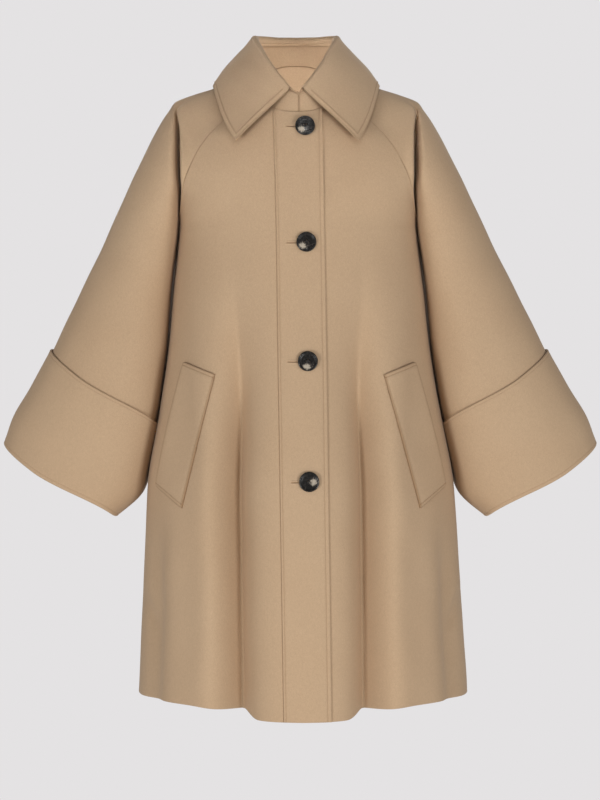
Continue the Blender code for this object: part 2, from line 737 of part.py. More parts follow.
def build_collar(cover, ring):
    """The stand on the neck seam, and the fall that rolls over from its top edge."""
    neck, roll, edge, fullness = collar_stations(ring)
    along = np.gradient(roll, axis=0)
    stand, fall = [], []
    for i in range(len(neck)):
        rise = roll[i] - neck[i]
        up = unit(rise)
        out = unit(np.cross(up, along[i]))
        if np.dot(out, roll[i] - vec(0, -0.01, roll[i][2])) < 0:
            out = -out
        top = neck[i] + rise * STAND_SHARE
        from_end = min(i, len(neck) - 1 - i)
        top[0] += (neck[i][0] - top[0]) * math.exp(-(from_end / 1.5) ** 2)
        stand.append([neck[i], (neck[i] + top) / 2, top])
        centre = roll[i] - up * ROLL_RADIUS + out * (ROLL_RADIUS - CLOTH)
        line = [top - out * CLOTH]
        line += [centre + ROLL_RADIUS * (up * math.sin(a) - out * math.cos(a))
                 for a in np.radians((0, 45, 90, 135, 180))]
        start = line[-1]
        bulge = unit(np.cross(edge[i] - start, along[i]))
        if np.dot(bulge, out + vec(0, 0, 0.5)) < 0:
            bulge = -bulge
        for share in FALL_SHARES:
            full = fullness[i] * share * share * (1 - share) * BULGE_PEAK
            point = start + (edge[i] - start) * share + bulge * full
            line.append(lay_on(point, cover, CLOTH + FALL_ROOM))
        fall.append(line)
    surface = Surface()
    _, strips = surface.add(np.array(stand).transpose(1, 0, 2)[::-1], flip=True)
    build_wall("collar_stand", surface, surface.normals(), joined(strips), CAMEL)
    surface = Surface()
    _, strips = surface.add(np.array(fall).transpose(1, 0, 2))
    build_wall("collar_fall", surface, surface.normals(), joined(strips), CAMEL)


def build_pocket(cover, name, side):
    """A wide welt laid on the front."""
    corners = [vec(*corner) for corner in POCKET]
    grid = []
    for r in range(POCKET_ROWS + 1):
        v = r / POCKET_ROWS
        left = corners[0] + (corners[3] - corners[0]) * v
        right = corners[1] + (corners[2] - corners[1]) * v
        line = []
        for c in range(POCKET_COLUMNS + 1):
            x, z = left + (right - left) * c / POCKET_COLUMNS
            place, normal = front_height(cover, side * x, z)
            line.append(place + normal * (POCKET_ROOM + CLOTH))
        grid.append(line)
    surface = Surface()
    _, strips = surface.add(np.array(grid), flip=side > 0)
    build_wall(name, surface, surface.normals(), joined(strips), CAMEL)


def build_button(cover, name, height, turn):
    """A four-hole horn button: a dished face inside a raised rim, turned from its profile."""
    profile = (               # radius, height above the back
        (0.0000, 0.0022),
        (0.0085, 0.0024),
        (0.0110, 0.0037),
        (0.0127, 0.0042),
        (0.0142, 0.0034),
        (0.0146, 0.0022),
        (0.0128, 0.0000),
        (0.0000, 0.0000),
    )
    place, normal = front_height(cover, BUTTON_X, height)
    place = hang(place + normal * BUTTON_ROOM)
    turned = Vector(normal).to_track_quat("Z", "Y").to_euler()
    mesh = bpy.data.meshes.new(name)
    edges = [(i, i + 1) for i in range(len(profile) - 1)]
    mesh.from_pydata([(radius, 0, z) for radius, z in profile], edges, [])
    button = bpy.data.objects.new(name, mesh)
    coat.objects.link(button)
    button.location, button.rotation_euler = place, turned
    screw = button.modifiers.new("turn", "SCREW")
    screw.steps = screw.render_steps = BUTTON_STEPS
    screw.use_merge_vertices = True
    screw.merge_threshold = 0.00001
    screw.use_normal_calculate = True
    drill = bmesh.new()
    for corner in range(4):
        angle = math.radians(turn + 45 + 90 * corner)
        made = bmesh.ops.create_cone(drill, cap_ends=True, segments=DRILL_SIDES,
                                     depth=DRILL_LENGTH,
                                     radius1=BUTTON_HOLE_RADIUS,
                                     radius2=BUTTON_HOLE_RADIUS)
        offset = BUTTON_HOLE_PITCH / math.sqrt(2)
        bmesh.ops.translate(drill, verts=made["verts"],
                            vec=(offset * math.cos(angle), offset * math.sin(angle), 0))
    drill_mesh = bpy.data.meshes.new(name + "_drill")
    drill.to_mesh(drill_mesh)
    drill.free()
    cutter = bpy.data.objects.new(name + "_drill", drill_mesh)
    cutters.objects.link(cutter)
    cutter.location, cutter.rotation_euler = place, turned
    cutter.hide_render = True
    cutter.display_type = "WIRE"
    cut = button.modifiers.new("holes", "BOOLEAN")
    cut.operation = "DIFFERENCE"
    cut.solver = "EXACT"
    cut.object = cutter
    button.data.materials.append(cloth_material(name, HORN, 0.25))


for old in list(bpy.data.objects):
    bpy.data.objects.remove(old)
coat = bpy.data.collections.new("short_coat")
cutters = bpy.data.collections.new("cutters")
for collection in (coat, cutters):
    bpy.context.scene.collection.children.link(collection)

shell = Surface()
fronts, column = front_grid()
column["numbers"], front_strips = shell.add(fronts)
backs = back_grid()
back_numbers, back_strips = shell.add(backs)
sleeves, sleeve_parts = {}, {}
for name, side in (("right", -1), ("left", 1)):
    sleeves[name] = sleeve_grid(side)
    sleeve_parts[name] = shell.add(sleeves[name], flip=side < 0)
shell_normals = shell.normals()

body_normals, sleeve_normals = shell_normals.copy(), shell_normals.copy()
for name, side in (("right", -1), ("left", 1)):
    underarm = sleeve_parts[name][0][len(FRONT_SEAM) - 1, 0]
    body_normals[underarm] = vec(side, 0, 0)
    sleeve_normals[underarm] = vec(-side, 0, 0)
cover = build_fronts(shell, body_normals, front_strips, column)
side_seams = np.concatenate([back_numbers[:, 0], back_numbers[:, -1]])
build_wall("back", shell, body_normals, joined(back_strips), CAMEL,
           shift=vent_shift(shell, side_seams, 1))
for name, side in (("right", -1), ("left", 1)):
    numbers, strips = sleeve_parts[name]
    build_wall("sleeve_" + name, shell, sleeve_normals, joined(strips), CAMEL)
    build_cuff("cuff_" + name, side, sleeves[name], numbers, sleeve_normals)
build_collar(cover, neck_ring(fronts, column, backs, sleeves["right"], sleeves["left"]))
build_pocket(cover, "pocket_welt_right", -1)
build_pocket(cover, "pocket_welt_left", 1)
for i, (height, turn) in enumerate(BUTTONS):
    build_button(cover, "button_%d" % (i + 1), height, turn)
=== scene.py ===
"""Looks of the short coat: each piece of cloth cut, rounded at its edges and sewn as a real one."""
import math

import bmesh
import bpy
import numpy as np
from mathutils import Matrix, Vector
from mathutils.bvhtree import BVHTree


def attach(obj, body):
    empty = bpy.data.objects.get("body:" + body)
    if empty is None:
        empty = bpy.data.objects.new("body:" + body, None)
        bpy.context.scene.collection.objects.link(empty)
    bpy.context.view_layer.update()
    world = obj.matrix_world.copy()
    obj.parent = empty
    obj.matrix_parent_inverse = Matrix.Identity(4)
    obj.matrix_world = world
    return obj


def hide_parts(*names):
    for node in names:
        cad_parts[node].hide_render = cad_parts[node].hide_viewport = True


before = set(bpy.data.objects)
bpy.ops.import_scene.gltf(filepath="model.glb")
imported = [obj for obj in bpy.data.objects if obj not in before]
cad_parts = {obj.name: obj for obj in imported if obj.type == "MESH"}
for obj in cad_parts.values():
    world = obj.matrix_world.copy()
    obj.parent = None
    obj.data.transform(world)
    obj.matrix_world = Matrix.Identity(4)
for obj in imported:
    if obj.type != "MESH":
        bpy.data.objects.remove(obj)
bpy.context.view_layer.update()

# Body: both fronts and the back. Camel double-faced wool of 2.5 mm, cut clean, turned in at its
# edges and sewn side to side, open at the hem's sides. The coat swings out to its hem, with a
# deep fold on either side of the front and softer ones beside it and behind.
CLOTH = 0.0025
LEAN, LEAN_LEVEL = 0.0112, -0.50
HEM_SIDE, UNDERARM = -0.9075, -0.225
YOKE, SKIRT = 10, 12                   # rows of the pattern above and below the underarm
LAST = YOKE + SKIRT
BODY_WIDTH = (            # height, half width
    (-0.225, 0.1780), (-0.263, 0.1825), (-0.317, 0.1885), (-0.383, 0.1950), (-0.4725, 0.2080),
    (-0.516, 0.2165), (-0.601, 0.2295), (-0.683, 0.2338), (-0.738, 0.2368), (-0.827, 0.2416),
    (-0.9075, 0.2458),
)
CENTRE_FRONT = (          # height, distance in front of the origin
    (-0.054, 0.105), (-0.100, 0.121), (-0.160, 0.133), (-0.225, 0.141), (-0.350, 0.156),
    (-0.4725, 0.170), (-0.600, 0.184), (-0.750, 0.197), (-0.930, 0.208),
)
CENTRE_BACK = (           # height, distance behind the origin
    (0.040, 0.078), (0.012, 0.093), (-0.050, 0.113), (-0.120, 0.125), (-0.225, 0.134),
    (-0.350, 0.146), (-0.4725, 0.158), (-0.600, 0.171), (-0.750, 0.184), (-0.9075, 0.195),
)
HEM = (                   # share of the way from centre front to side, height of the hem
    (0.00, -0.9275), (0.16, -0.9270), (0.25, -0.9160), (0.45, -0.9090), (0.75, -0.9080),
    (1.00, -0.9075),
)
FRONT_SEAM = (            # centre z, x, y, z, turn, climb of the raglan seam
    (-0.054, 0.0646, -0.050, -0.018, 68, 34),
    (-0.075, 0.0900, -0.068, -0.043, 50, 10),
    (-0.095, 0.1090, -0.078, -0.0645, 36, 2),
    (-0.112, 0.1290, -0.086, -0.085, 28, 0),
    (-0.131, 0.1455, -0.091, -0.109, 25, 0),
    (-0.141, 0.1520, -0.0915, -0.1215, 27, 0),
    (-0.152, 0.1580, -0.091, -0.134, 31, 0),
    (-0.170, 0.1660, -0.084, -0.155, 45, 0),
    (-0.184, 0.1690, -0.070, -0.171, 63, 0),
    (-0.207, 0.1740, -0.036, -0.200, 82, 0),
    (-0.225, 0.1780, 0.000, -0.225, 90, 0),
)
BACK_SEAM = (
    (0.040, 0.0400, 0.066, 0.033, 26, -14),
    (0.012, 0.0660, 0.083, 0.006, 24, -8),
    (-0.017, 0.0880, 0.094, -0.022, 22, -4),
    (-0.046, 0.1080, 0.102, -0.050, 22, -2),
    (-0.077, 0.1270, 0.107, -0.080, 24, 0),
    (-0.094, 0.1360, 0.108, -0.096, 26, 0),
    (-0.110, 0.1445, 0.108, -0.112, 30, 0),
    (-0.141, 0.1580, 0.100, -0.142, 45, 0),
    (-0.165, 0.1660, 0.084, -0.166, 62, 0),
    (-0.199, 0.1730, 0.044, -0.199, 82, 0),
    (-0.225, 0.1780, 0.000, -0.225, 90, 0),
)
FRONT_FOLDS = (           # top, place at top, at hem, width inwards, width outwards, depth
    (-0.240, 0.325, 0.266, 0.085, 0.040, -0.054),
    (-0.280, 0.420, 0.340, 0.060, 0.100, 0.007),
    (-0.560, 0.740, 0.700, 0.070, 0.080, -0.009),
)
BACK_FOLDS = (
    (-0.200, 0.260, 0.230, 0.090, 0.060, -0.024),
    (-0.280, 0.420, 0.400, 0.080, 0.100, 0.007),
    (-0.400, 0.640, 0.620, 0.070, 0.080, -0.016),
)
ROUNDNESS, SHORTEST_HANDLE, FOLD_GROWTH = 0.58, 0.28, 1.9
FOLD_SPREAD = 1.4                      # how much wider a fold is where it starts
DEEP_FOLD, DEEP_FOLD_SHARP, SOFT_FOLD_SHARP = -0.03, 1.35, 2
BAND_SEAM = (-0.034, -0.0275)          # x at the neck and at the hem
BAND_EDGE = (0.0375, 0.0395)
UNDERLAP, UNDERLAP_STEP = (-0.026, -0.020), (0.016,)
BAND_LIFT = CLOTH + 0.0005
LIFT_WIDTH = 0.075                     # the front comes up to the band over this width
VENT_TOP, VENT_GAP, VENT_BLEND = -0.738, 0.0012, 0.06
VENT_REACH = 0.012                     # width of the cloth that parts beside a vent
EDGE_STEPS = (0.0, 0.0002, 0.0006, 0.0012, 0.0020, 0.0032, 0.0048, 0.0070, 0.0100)
ROW_DROP = 0.025                       # about what one row of the yoke goes down
SKIRT_DROP = (UNDERARM - HEM_SIDE) / SKIRT
DENSE = 321                            # points on a section before it is cut into columns
YOKE_LINES, SKIRT_LINES = 46, 132      # rows of points between the edges
RIGHT_COLUMNS, LEFT_COLUMNS, BACK_COLUMNS = 78, 84, 84
WAVE_HEIGHT, WAVE_FADE = 0.0004, 0.020     # of the cloth's soft waves, which end at the edges
CREASE_END = 0.35                      # share of a crease's length over which each end dies out
EVEN_WIDTH, EVEN_STEP, EVEN_PASSES = 0.030, 0.002, 2
EVEN_EDGE, EVEN_FADE = 0.004, 0.030    # left as it is at an edge, then evened more and more
GROOVE_WIDTH = 0.0008                  # half width of the groove under a line of stitches
SHADE_REACH = 0.0016                    # how far in from an edge the painted shade reaches
# painted shade in grooves: darkening for each metre of a groove's depth, and the deepest depth that
# counts
GROOVE_SHADE, DEEPEST_GROOVE = 600, 0.0012
UNDERARM_WIDTH, UNDERARM_FROM, UNDERARM_FADE = 0.003, 6, 3


def vec(*numbers):
    return np.array(numbers, float)


def unit(v):
    return v / np.maximum(np.linalg.norm(v, axis=-1, keepdims=True), 1e-12)


def smooth(u):
    u = np.clip(u, 0, 1)
    return u * u * (3 - 2 * u)


def through(table, at):
    """Values on the smooth curve through a table's rows, without overshoot."""
    rows = np.array(sorted(table), float)
    knots, values = rows[:, 0], rows[:, 1:]
    steps = np.diff(knots)[:, None]
    slopes = np.diff(values, axis=0) / steps
    tangents = np.vstack([slopes[:1], np.zeros_like(slopes[1:]), slopes[-1:]])
    both, total = slopes[:-1] * slopes[1:], slopes[:-1] + slopes[1:]
    tangents[1:-1] = np.where(both > 0, 2 * both / np.where(both > 0, total, 1), 0)
    at = np.clip(np.asarray(at, float), knots[0], knots[-1])
    i = np.clip(np.searchsorted(knots, at) - 1, 0, len(knots) - 2)
    step = steps[i]
    u = ((at - knots[i]) / step[..., 0])[..., None]
    value = (values[i] * (1 + 2 * u) * (1 - u) ** 2 + values[i + 1] * u * u * (3 - 2 * u)
             + step * (tangents[i] * u * (1 - u) ** 2 - tangents[i + 1] * u * u * (1 - u)))
    return value if values.shape[1] > 1 else value[..., 0]


def numbered(table):
    return [(i,) + tuple(row) for i, row in enumerate(table)]


def bezier(p, t):
    return (p[0] * (1 - t) ** 3 + 3 * p[1] * (1 - t) ** 2 * t
            + 3 * p[2] * (1 - t) * t * t + p[3] * t ** 3)


def hang(points):
    """The coat hangs a little askew: higher points sit further towards its right."""
    moved = np.array(points, float)
    moved[..., 0] -= LEAN * (moved[..., 2] - LEAN_LEVEL)
    return moved


def section(row, back):
    """Control points of half a section, from the centre line to the seam at its side."""
    centre_line, facing = (CENTRE_BACK, 1) if back else (CENTRE_FRONT, -1)
    if row <= YOKE:
        table = numbered(BACK_SEAM if back else FRONT_SEAM)
        centre_z, x, y, z, turn, climb = through(table, row)
        turn, climb = math.radians(turn), math.radians(climb)
        start = vec(0, facing * through(centre_line, centre_z), centre_z)
        end = vec(x, y, z)
        leave = vec(math.cos(turn) * math.cos(climb),
                    -facing * math.sin(turn) * math.cos(climb), math.sin(climb))
        reach = ROUNDNESS * (abs(start[1]) - abs(y)) / (math.sin(turn) * math.cos(climb))
        reach = max(reach, SHORTEST_HANDLE * x)
        return start, start + vec(ROUNDNESS * x, 0, 0), end - leave * reach, end
    z = UNDERARM + (HEM_SIDE - UNDERARM) * (row - YOKE) / SKIRT
    width, depth = through(BODY_WIDTH, z), through(centre_line, z)
    start, end = vec(0, facing * depth, z), vec(width, 0, z)
    return (start, start + vec(ROUNDNESS * width, 0, 0),
            end + vec(0, facing * ROUNDNESS * depth, 0), end)


def fold_depth(folds, share, z):
    total = 0.0
    for top, place_top, place_hem, inwards, outwards, depth in folds:
        down = max((top - z) / (top - HEM_SIDE), 0)
        offset = share - (place_top + (place_hem - place_top) * down)
        width = np.where(offset < 0, inwards, outwards) * (1 + FOLD_SPREAD * (1 - smooth(down * 2)))
        sharp = DEEP_FOLD_SHARP if depth < DEEP_FOLD else SOFT_FOLD_SHARP
        shape = np.exp(-(np.abs(offset) / width) ** sharp)
        total = total + depth * smooth(down * FOLD_GROWTH) * shape
    return total


def body_line(row, back):
    """Half a section of the body as many points, from the centre line to its side."""
    share = np.linspace(0, 1, DENSE)
    line = bezier(section(row, back), share[:, None])
    if row > YOKE:
        z = line[0, 2]
        hem = HEM_SIDE if back else through(HEM, share)
        ahead = np.gradient(line[:, :2], axis=0)
        out = unit(np.stack([-ahead[:, 1], ahead[:, 0], 0 * share], axis=1))
        out = out * (1 if back else -1)
        line += out * fold_depth(BACK_FOLDS if back else FRONT_FOLDS, share, z)[:, None]
        line[:, 2] = UNDERARM + (hem - UNDERARM) * (row - YOKE) / SKIRT
    return line


def lengths_of(line):
    steps = np.linalg.norm(np.diff(line, axis=0), axis=1)
    return np.concatenate([[0], np.cumsum(steps)])


def at_lengths(line, wanted):
    lengths = lengths_of(line)
    return np.stack([np.interp(wanted, lengths, line[:, k]) for k in range(3)], axis=1)


def beyond(line, x):
    """The part of half a section that lies further out than x."""
    cut = at_lengths(line, [np.interp(x, line[:, 0], lengths_of(line))])
    return np.vstack([cut, line[line[:, 0] > x + 1e-6]])


def spread(total, middle, steps):
    """Distances across a piece: close together at both of its edges."""
    near, far = np.array(steps), total - np.array(steps)[::-1]
    inside = np.linspace(near[-1], far[0], middle)
    return np.concatenate([near[:-1], inside, far[1:]])


def body_rows():
    """Rows of the pattern, close together at the neck and at the hem."""
    steps = np.array(EDGE_STEPS)
    top, bottom = steps / ROW_DROP, LAST - steps[::-1] / SKIRT_DROP
    yoke = np.linspace(top[-1], YOKE, YOKE_LINES)
    skirt = np.linspace(YOKE, bottom[0], SKIRT_LINES)
    return np.concatenate([top[:-1], yoke, skirt[1:], bottom[1:]])


def line_at(ends, row):
    return ends[0] + (ends[1] - ends[0]) * row / LAST


def evened(grid, near):
    """Even out the surface down each column, except where it is near an edge."""
    keep = smooth((near - EVEN_EDGE) / EVEN_FADE)
    reach = int(EVEN_WIDTH / EVEN_STEP)
    weights = np.hanning(2 * reach + 3)[1:-1]
    for _ in range(EVEN_PASSES):
        lengths = np.cumsum(np.linalg.norm(np.diff(grid, axis=0), axis=2), axis=0)
        for c in range(grid.shape[1]):
            along = np.concatenate([[0], lengths[:, c]])
            steps = np.arange(0, along[-1], EVEN_STEP)
            depth = np.interp(steps, along, grid[:, c, 1])
            padded = np.concatenate([2 * depth[0] - depth[reach:0:-1], depth,
                                     2 * depth[-1] - depth[-2:-reach - 2:-1]])
            even = np.convolve(padded, weights / weights.sum(), "valid")
            grid[:, c, 1] += (np.interp(along, steps, even) - grid[:, c, 1]) * keep[:, c]
    return grid


def facing_out(grid, flip, ring=False):
    """Unit normals of a grid of points."""
    if ring:
        wide = np.concatenate([grid[:, -2:-1], grid, grid[:, 1:2]], axis=1)
        across = np.gradient(wide, axis=1)[:, 1:-1]
    else:
        across = np.gradient(grid, axis=1)
    normal = unit(np.cross(across, np.gradient(grid, axis=0)))
    return -normal if flip else normal


def rippled(points):
    """Small unevenness of soft cloth that hangs: long, shallow waves."""
    x, y, z = points[..., 0], points[..., 1], points[..., 2]
    waves = (np.sin(31 * x + 11 * z + 1.3) * np.sin(17 * z - 9 * y + 0.4)
             + 0.6 * np.sin(57 * x - 23 * z + 2.1) * np.sin(38 * z + 21 * y)
             + 0.3 * np.sin(96 * x + 41 * y + 60 * z))
    return waves * WAVE_HEIGHT


def creased(points, creases):
    """Depth of creases: each runs from one place to another, wide on its soft side."""
    x, z = points[..., 0], points[..., 2]
    total = 0.0
    for x0, z0, x1, z1, inwards, outwards, depth in creases:
        dx, dz = x1 - x0, z1 - z0
        length = math.hypot(dx, dz)
        along = ((x - x0) * dx + (z - z0) * dz) / length ** 2
        off = ((x - x0) * dz - (z - z0) * dx) / length
        width = np.where(off < 0, inwards, outwards)
        fade = smooth(along / CREASE_END) * smooth((1 - along) / CREASE_END)
        total = total + depth * fade * np.exp(-(off / width) ** 2)
    return total


def stitched(distance, at, depth):
    """How deep a line of stitches at this distance from an edge pulls the cloth in."""
    return depth * np.exp(-((distance - at) / GROOVE_WIDTH) ** 2)


def cloth_piece(name, points, normals, near, flip, sink=None, ring=False, press=0.0, edge_shade=0.4,
                edge=0.0015):
    """A closed piece of cloth from its outer points: rounded where near, the edge's distance, is 0.

    sink says how deep the middle of the cloth lies under the points, press how far it is
    pulled in by its stitches (its grooves also get painted shade), the next argument how dark the
    painted shade along its edges is, and edge how wide they are rounded.
    """
    half = CLOTH / 2
    sink = half if sink is None else sink
    bend = np.sqrt(np.clip(1 - (1 - np.clip(near / edge, 0, 1)) ** 2, 0, 1)) * half
    middle = points - normals * (sink + press + 0 * near)[..., None]
    outer = hang(middle + normals * bend[..., None])
    inner = hang(middle - normals * half)
    rows, columns = near.shape
    if ring:
        columns -= 1
        outer, inner, near = outer[:, :-1], inner[:, :-1], near[:, :-1]
    front = np.arange(rows * columns).reshape(rows, columns)
    behind = front + rows * columns
    behind = np.where(near < 1e-9, front, behind)
    if ring:
        front = np.concatenate([front, front[:, :1]], axis=1)
        behind = np.concatenate([behind, behind[:, :1]], axis=1)

    def quads(index, turned):
        corners = [index[:-1, :-1], index[:-1, 1:], index[1:, 1:], index[1:, :-1]]
        if turned:
            corners = corners[::-1]
        return np.stack([c.ravel() for c in corners], axis=1)

    faces = np.concatenate([quads(front, flip), quads(behind, not flip)])
    vertices = np.concatenate([outer.reshape(-1, 3), inner.reshape(-1, 3)])
    used = np.unique(faces)
    fresh = np.zeros(len(vertices), int)
    fresh[used] = np.arange(len(used))
    mesh = bpy.data.meshes.new(name)
    mesh.from_pydata(vertices[used].tolist(), [], fresh[faces].tolist())
    mesh.validate()
    # Painted shade, kept in a point attribute: the colour is darkened along the edges and in the
    # grooves of stitches and slits, where shade falls.
    painted_shade = mesh.attributes.new("painted_shade", "FLOAT", "POINT")
    groove = (press + 0 * points[..., 0])[:, :near.shape[1]]
    dark = edge_shade * np.exp(-near / SHADE_REACH) + GROOVE_SHADE * np.clip(groove, 0, DEEPEST_GROOVE)
    share = np.concatenate([np.clip(dark, 0, 1).ravel()] * 2)[used]
    painted_shade.data.foreach_set("value", share.astype(np.float32))
    mesh.shade_smooth()
    mesh.update()
    piece = bpy.data.objects.new(name, mesh)
    bpy.context.scene.collection.objects.link(piece)
    piece.data.materials.append(wool)
    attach(piece, "root")
    return piece


def wool_material():
    """Brushed camel wool: close short nap, faint mottling of the dyed fibres, soft sheen, and painted
    shade at edges and grooves.
    """
    material = bpy.data.materials.new("camel_wool")
    material.use_nodes = True
    nodes, links = material.node_tree.nodes, material.node_tree.links
    shader = nodes["Principled BSDF"]
    place = nodes.new("ShaderNodeTexCoord")

    def noise(scale, detail, stretch=(1, 1, 1)):
        turn = nodes.new("ShaderNodeMapping")
        turn.inputs["Scale"].default_value = stretch
        links.new(place.outputs["Object"], turn.inputs["Vector"])
        made = nodes.new("ShaderNodeTexNoise")
        made.inputs["Scale"].default_value = scale
        made.inputs["Detail"].default_value = detail
        links.new(turn.outputs["Vector"], made.inputs["Vector"])
        return made.outputs["Fac"]

    def shade(fac, dark, light, low=0.3, high=0.7):
        ramp = nodes.new("ShaderNodeValToRGB")
        ramp.color_ramp.elements[0].position, ramp.color_ramp.elements[1].position = low, high
        ramp.color_ramp.elements[0].color = (*dark, 1)
        ramp.color_ramp.elements[1].color = (*light, 1)
        links.new(fac, ramp.inputs["Fac"])
        return ramp.outputs["Color"]

    def times(first, second):
        mix = nodes.new("ShaderNodeMix")
        mix.data_type, mix.blend_type = "RGBA", "MULTIPLY"
        mix.inputs["Factor"].default_value = 1
        links.new(first, mix.inputs[6])
        links.new(second, mix.inputs[7])
        return mix.outputs[2]

    broad = shade(noise(7, 2), (0.500, 0.346, 0.214), (0.520, 0.366, 0.230))
    mottled = shade(noise(420, 3, (1, 1, 0.6)), (0.965, 0.965, 0.965), (1.03, 1.03, 1.03))
    fibre = shade(noise(1500, 2, (1, 1, 0.5)), (0.93, 0.925, 0.915), (1.07, 1.07, 1.08))
    painted_shade = nodes.new("ShaderNodeAttribute")
    painted_shade.attribute_name = "painted_shade"
    # painted shade: the colour darkens towards this brown where the attribute is high
    painted_shade_colour = shade(painted_shade.outputs["Fac"], (1, 1, 1), (0.60, 0.53, 0.45), 0.05, 1.0)
    links.new(times(times(times(broad, mottled), fibre), painted_shade_colour), shader.inputs["Base Color"])
    rough = nodes.new("ShaderNodeMapRange")
    rough.inputs["To Min"].default_value, rough.inputs["To Max"].default_value = 0.84, 0.98
    links.new(noise(180, 2), rough.inputs["Value"])
    links.new(rough.outputs["Result"], shader.inputs["Roughness"])
    shader.inputs["Sheen Weight"].default_value = 0.22
    shader.inputs["Sheen Roughness"].default_value = 0.5
    shader.inputs["Sheen Tint"].default_value = (0.95, 0.86, 0.74, 1)
    shader.inputs["Specular IOR Level"].default_value = 0.2
    deep = nodes.new("ShaderNodeBump")
    deep.inputs["Strength"].default_value, deep.inputs["Distance"].default_value = 0.25, 0.0004
    links.new(noise(230, 3), deep.inputs["Height"])
    nap = nodes.new("ShaderNodeBump")
    nap.inputs["Strength"].default_value, nap.inputs["Distance"].default_value = 0.45, 0.0003
    links.new(noise(1500, 3, (1, 1, 0.5)), nap.inputs["Height"])
    links.new(deep.outputs["Normal"], nap.inputs["Normal"])
    links.new(nap.outputs["Normal"], shader.inputs["Normal"])
    return material


wool = wool_material()

FRONT_CREASES = (         # from x, z to x, z, width on the soft side and on the sharp one, depth
    (0.178, -0.300, 0.150, -0.640, 0.030, 0.014, -0.0022),
    (0.120, -0.130, 0.098, -0.330, 0.040, 0.030, -0.0016),
    (0.150, -0.620, 0.160, -0.880, 0.035, 0.025, -0.0030),
    (0.205, -0.700, 0.215, -0.920, 0.020, 0.014, -0.0020),
    (0.239, -0.745, 0.212, -0.812, 0.010, 0.006, -0.0040),
)


def body_grid(rows, back, side, inner_edge, middle):
    """Points across half of the body for each row, and each column's distance from both edges."""
    lines, left, right = [], [], []
    for row in rows:
        line = body_line(row, back)
        edge = 0.0 if inner_edge is None else abs(line_at(inner_edge, row))
        line = beyond(line, edge) if edge > 0 else line
        total = lengths_of(line)[-1]
        across = spread(total, middle, EDGE_STEPS)
        lines.append(at_lengths(line, across) * vec(side, 1, 1))
        left.append(across)
        right.append(total - across)
    return np.array(lines), np.array(left), np.array(right)


def edge_distance(rows, left, right):
    """Distance of each point from the nearest of the piece's four edges."""
    ends = np.minimum(rows * ROW_DROP, (LAST - rows) * SKIRT_DROP)
    return np.minimum(np.minimum(left, right), ends[:, None])


def at_underarm(rows, distance):
    """Share by which an edge rises to the seam line itself, where panels meet at an angle."""
    fade = smooth((rows - UNDERARM_FROM) / UNDERARM_FADE)
    fade = fade * (1 - smooth((rows - YOKE - 1) / UNDERARM_FADE))
    return np.clip(1 - distance / UNDERARM_WIDTH, 0, 1) * fade[:, None]


def front_cloth(name, side):
    """One front, from the band seam or under the band to the side."""
    rows = body_rows()
    if side < 0:
        grid, left, right = body_grid(rows, False, side, BAND_SEAM, RIGHT_COLUMNS)
    else:
        grid, left, right = body_grid(rows, False, side, None, LEFT_COLUMNS)
        under = []
        for row in rows:
            line = body_line(row, False)
            reach = abs(line_at(UNDERLAP, row))
            width = np.interp(reach, line[:, 0], lengths_of(line))
            across = np.array(EDGE_STEPS + UNDERLAP_STEP)
            under.append(at_lengths(line, width - across) * vec(-1, 1, 1))
        extra = np.array(under)
        grid = np.concatenate([extra, grid[:, len(EDGE_STEPS) - 2:]], axis=1)
        gap = np.linalg.norm(np.diff(grid, axis=1), axis=2)
        left = np.concatenate([np.zeros((len(rows), 1)), np.cumsum(gap, axis=1)], axis=1)
        right = left[:, -1:] - left
    near = edge_distance(rows, left, right)
    grid = evened(grid, near)
    normals = facing_out(grid, side > 0)
    local = grid * vec(side, 1, 1)
    push = (rippled(grid) + creased(local, FRONT_CREASES)) * smooth(near / WAVE_FADE)
    if side < 0:
        push = push + BAND_LIFT * (1 - smooth(left / LIFT_WIDTH))
    points = grid + normals * push[..., None]
    down = smooth((VENT_TOP - grid[..., 2]) / VENT_BLEND)
    points[..., 1] -= VENT_GAP * down * np.exp(-(right / VENT_REACH) ** 2)
    sink = CLOTH / 2 * (1 - at_underarm(rows, right))
    piece = cloth_piece(name, points, normals, near, side > 0, sink=sink, edge=0.001, edge_shade=0.2)
    return piece, points


front_right, right_points = front_cloth("front_right_wool", -1)
front_left, left_points = front_cloth("front_left_wool", 1)


def back_cloth():
    """The back, from side to side across the centre line."""
    rows = body_rows()
    first = len(EDGE_STEPS) - 1
    left_half = body_grid(rows, True, 1, None, BACK_COLUMNS)[0][:, first:][:, ::-1]
    right_half = body_grid(rows, True, -1, None, BACK_COLUMNS)[0][:, first:]
    centre = np.array([body_line(row, True)[0] for row in rows])[:, None]
    grid = np.concatenate([left_half, centre, right_half], axis=1)
    gap = np.linalg.norm(np.diff(grid, axis=1), axis=2)
    left = np.concatenate([np.zeros((len(rows), 1)), np.cumsum(gap, axis=1)], axis=1)
    right = left[:, -1:] - left
    near = edge_distance(rows, left, right)
    grid = evened(grid, near)
    normals = facing_out(grid, True)
    push = rippled(grid * vec(-1, 1, 1)) * smooth(near / WAVE_FADE)
    points = grid + normals * push[..., None]
    down = smooth((VENT_TOP - grid[..., 2]) / VENT_BLEND)
    from_side = np.minimum(left, right)
    points[..., 1] += VENT_GAP * down * np.exp(-(from_side / VENT_REACH) ** 2)
    sink = CLOTH / 2 * (1 - at_underarm(rows, from_side))
    return cloth_piece("back_wool", points, normals, near, True, sink=sink, edge=0.001), points


back, back_points = back_cloth()
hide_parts("front_right")
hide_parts("front_left")
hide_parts("back")

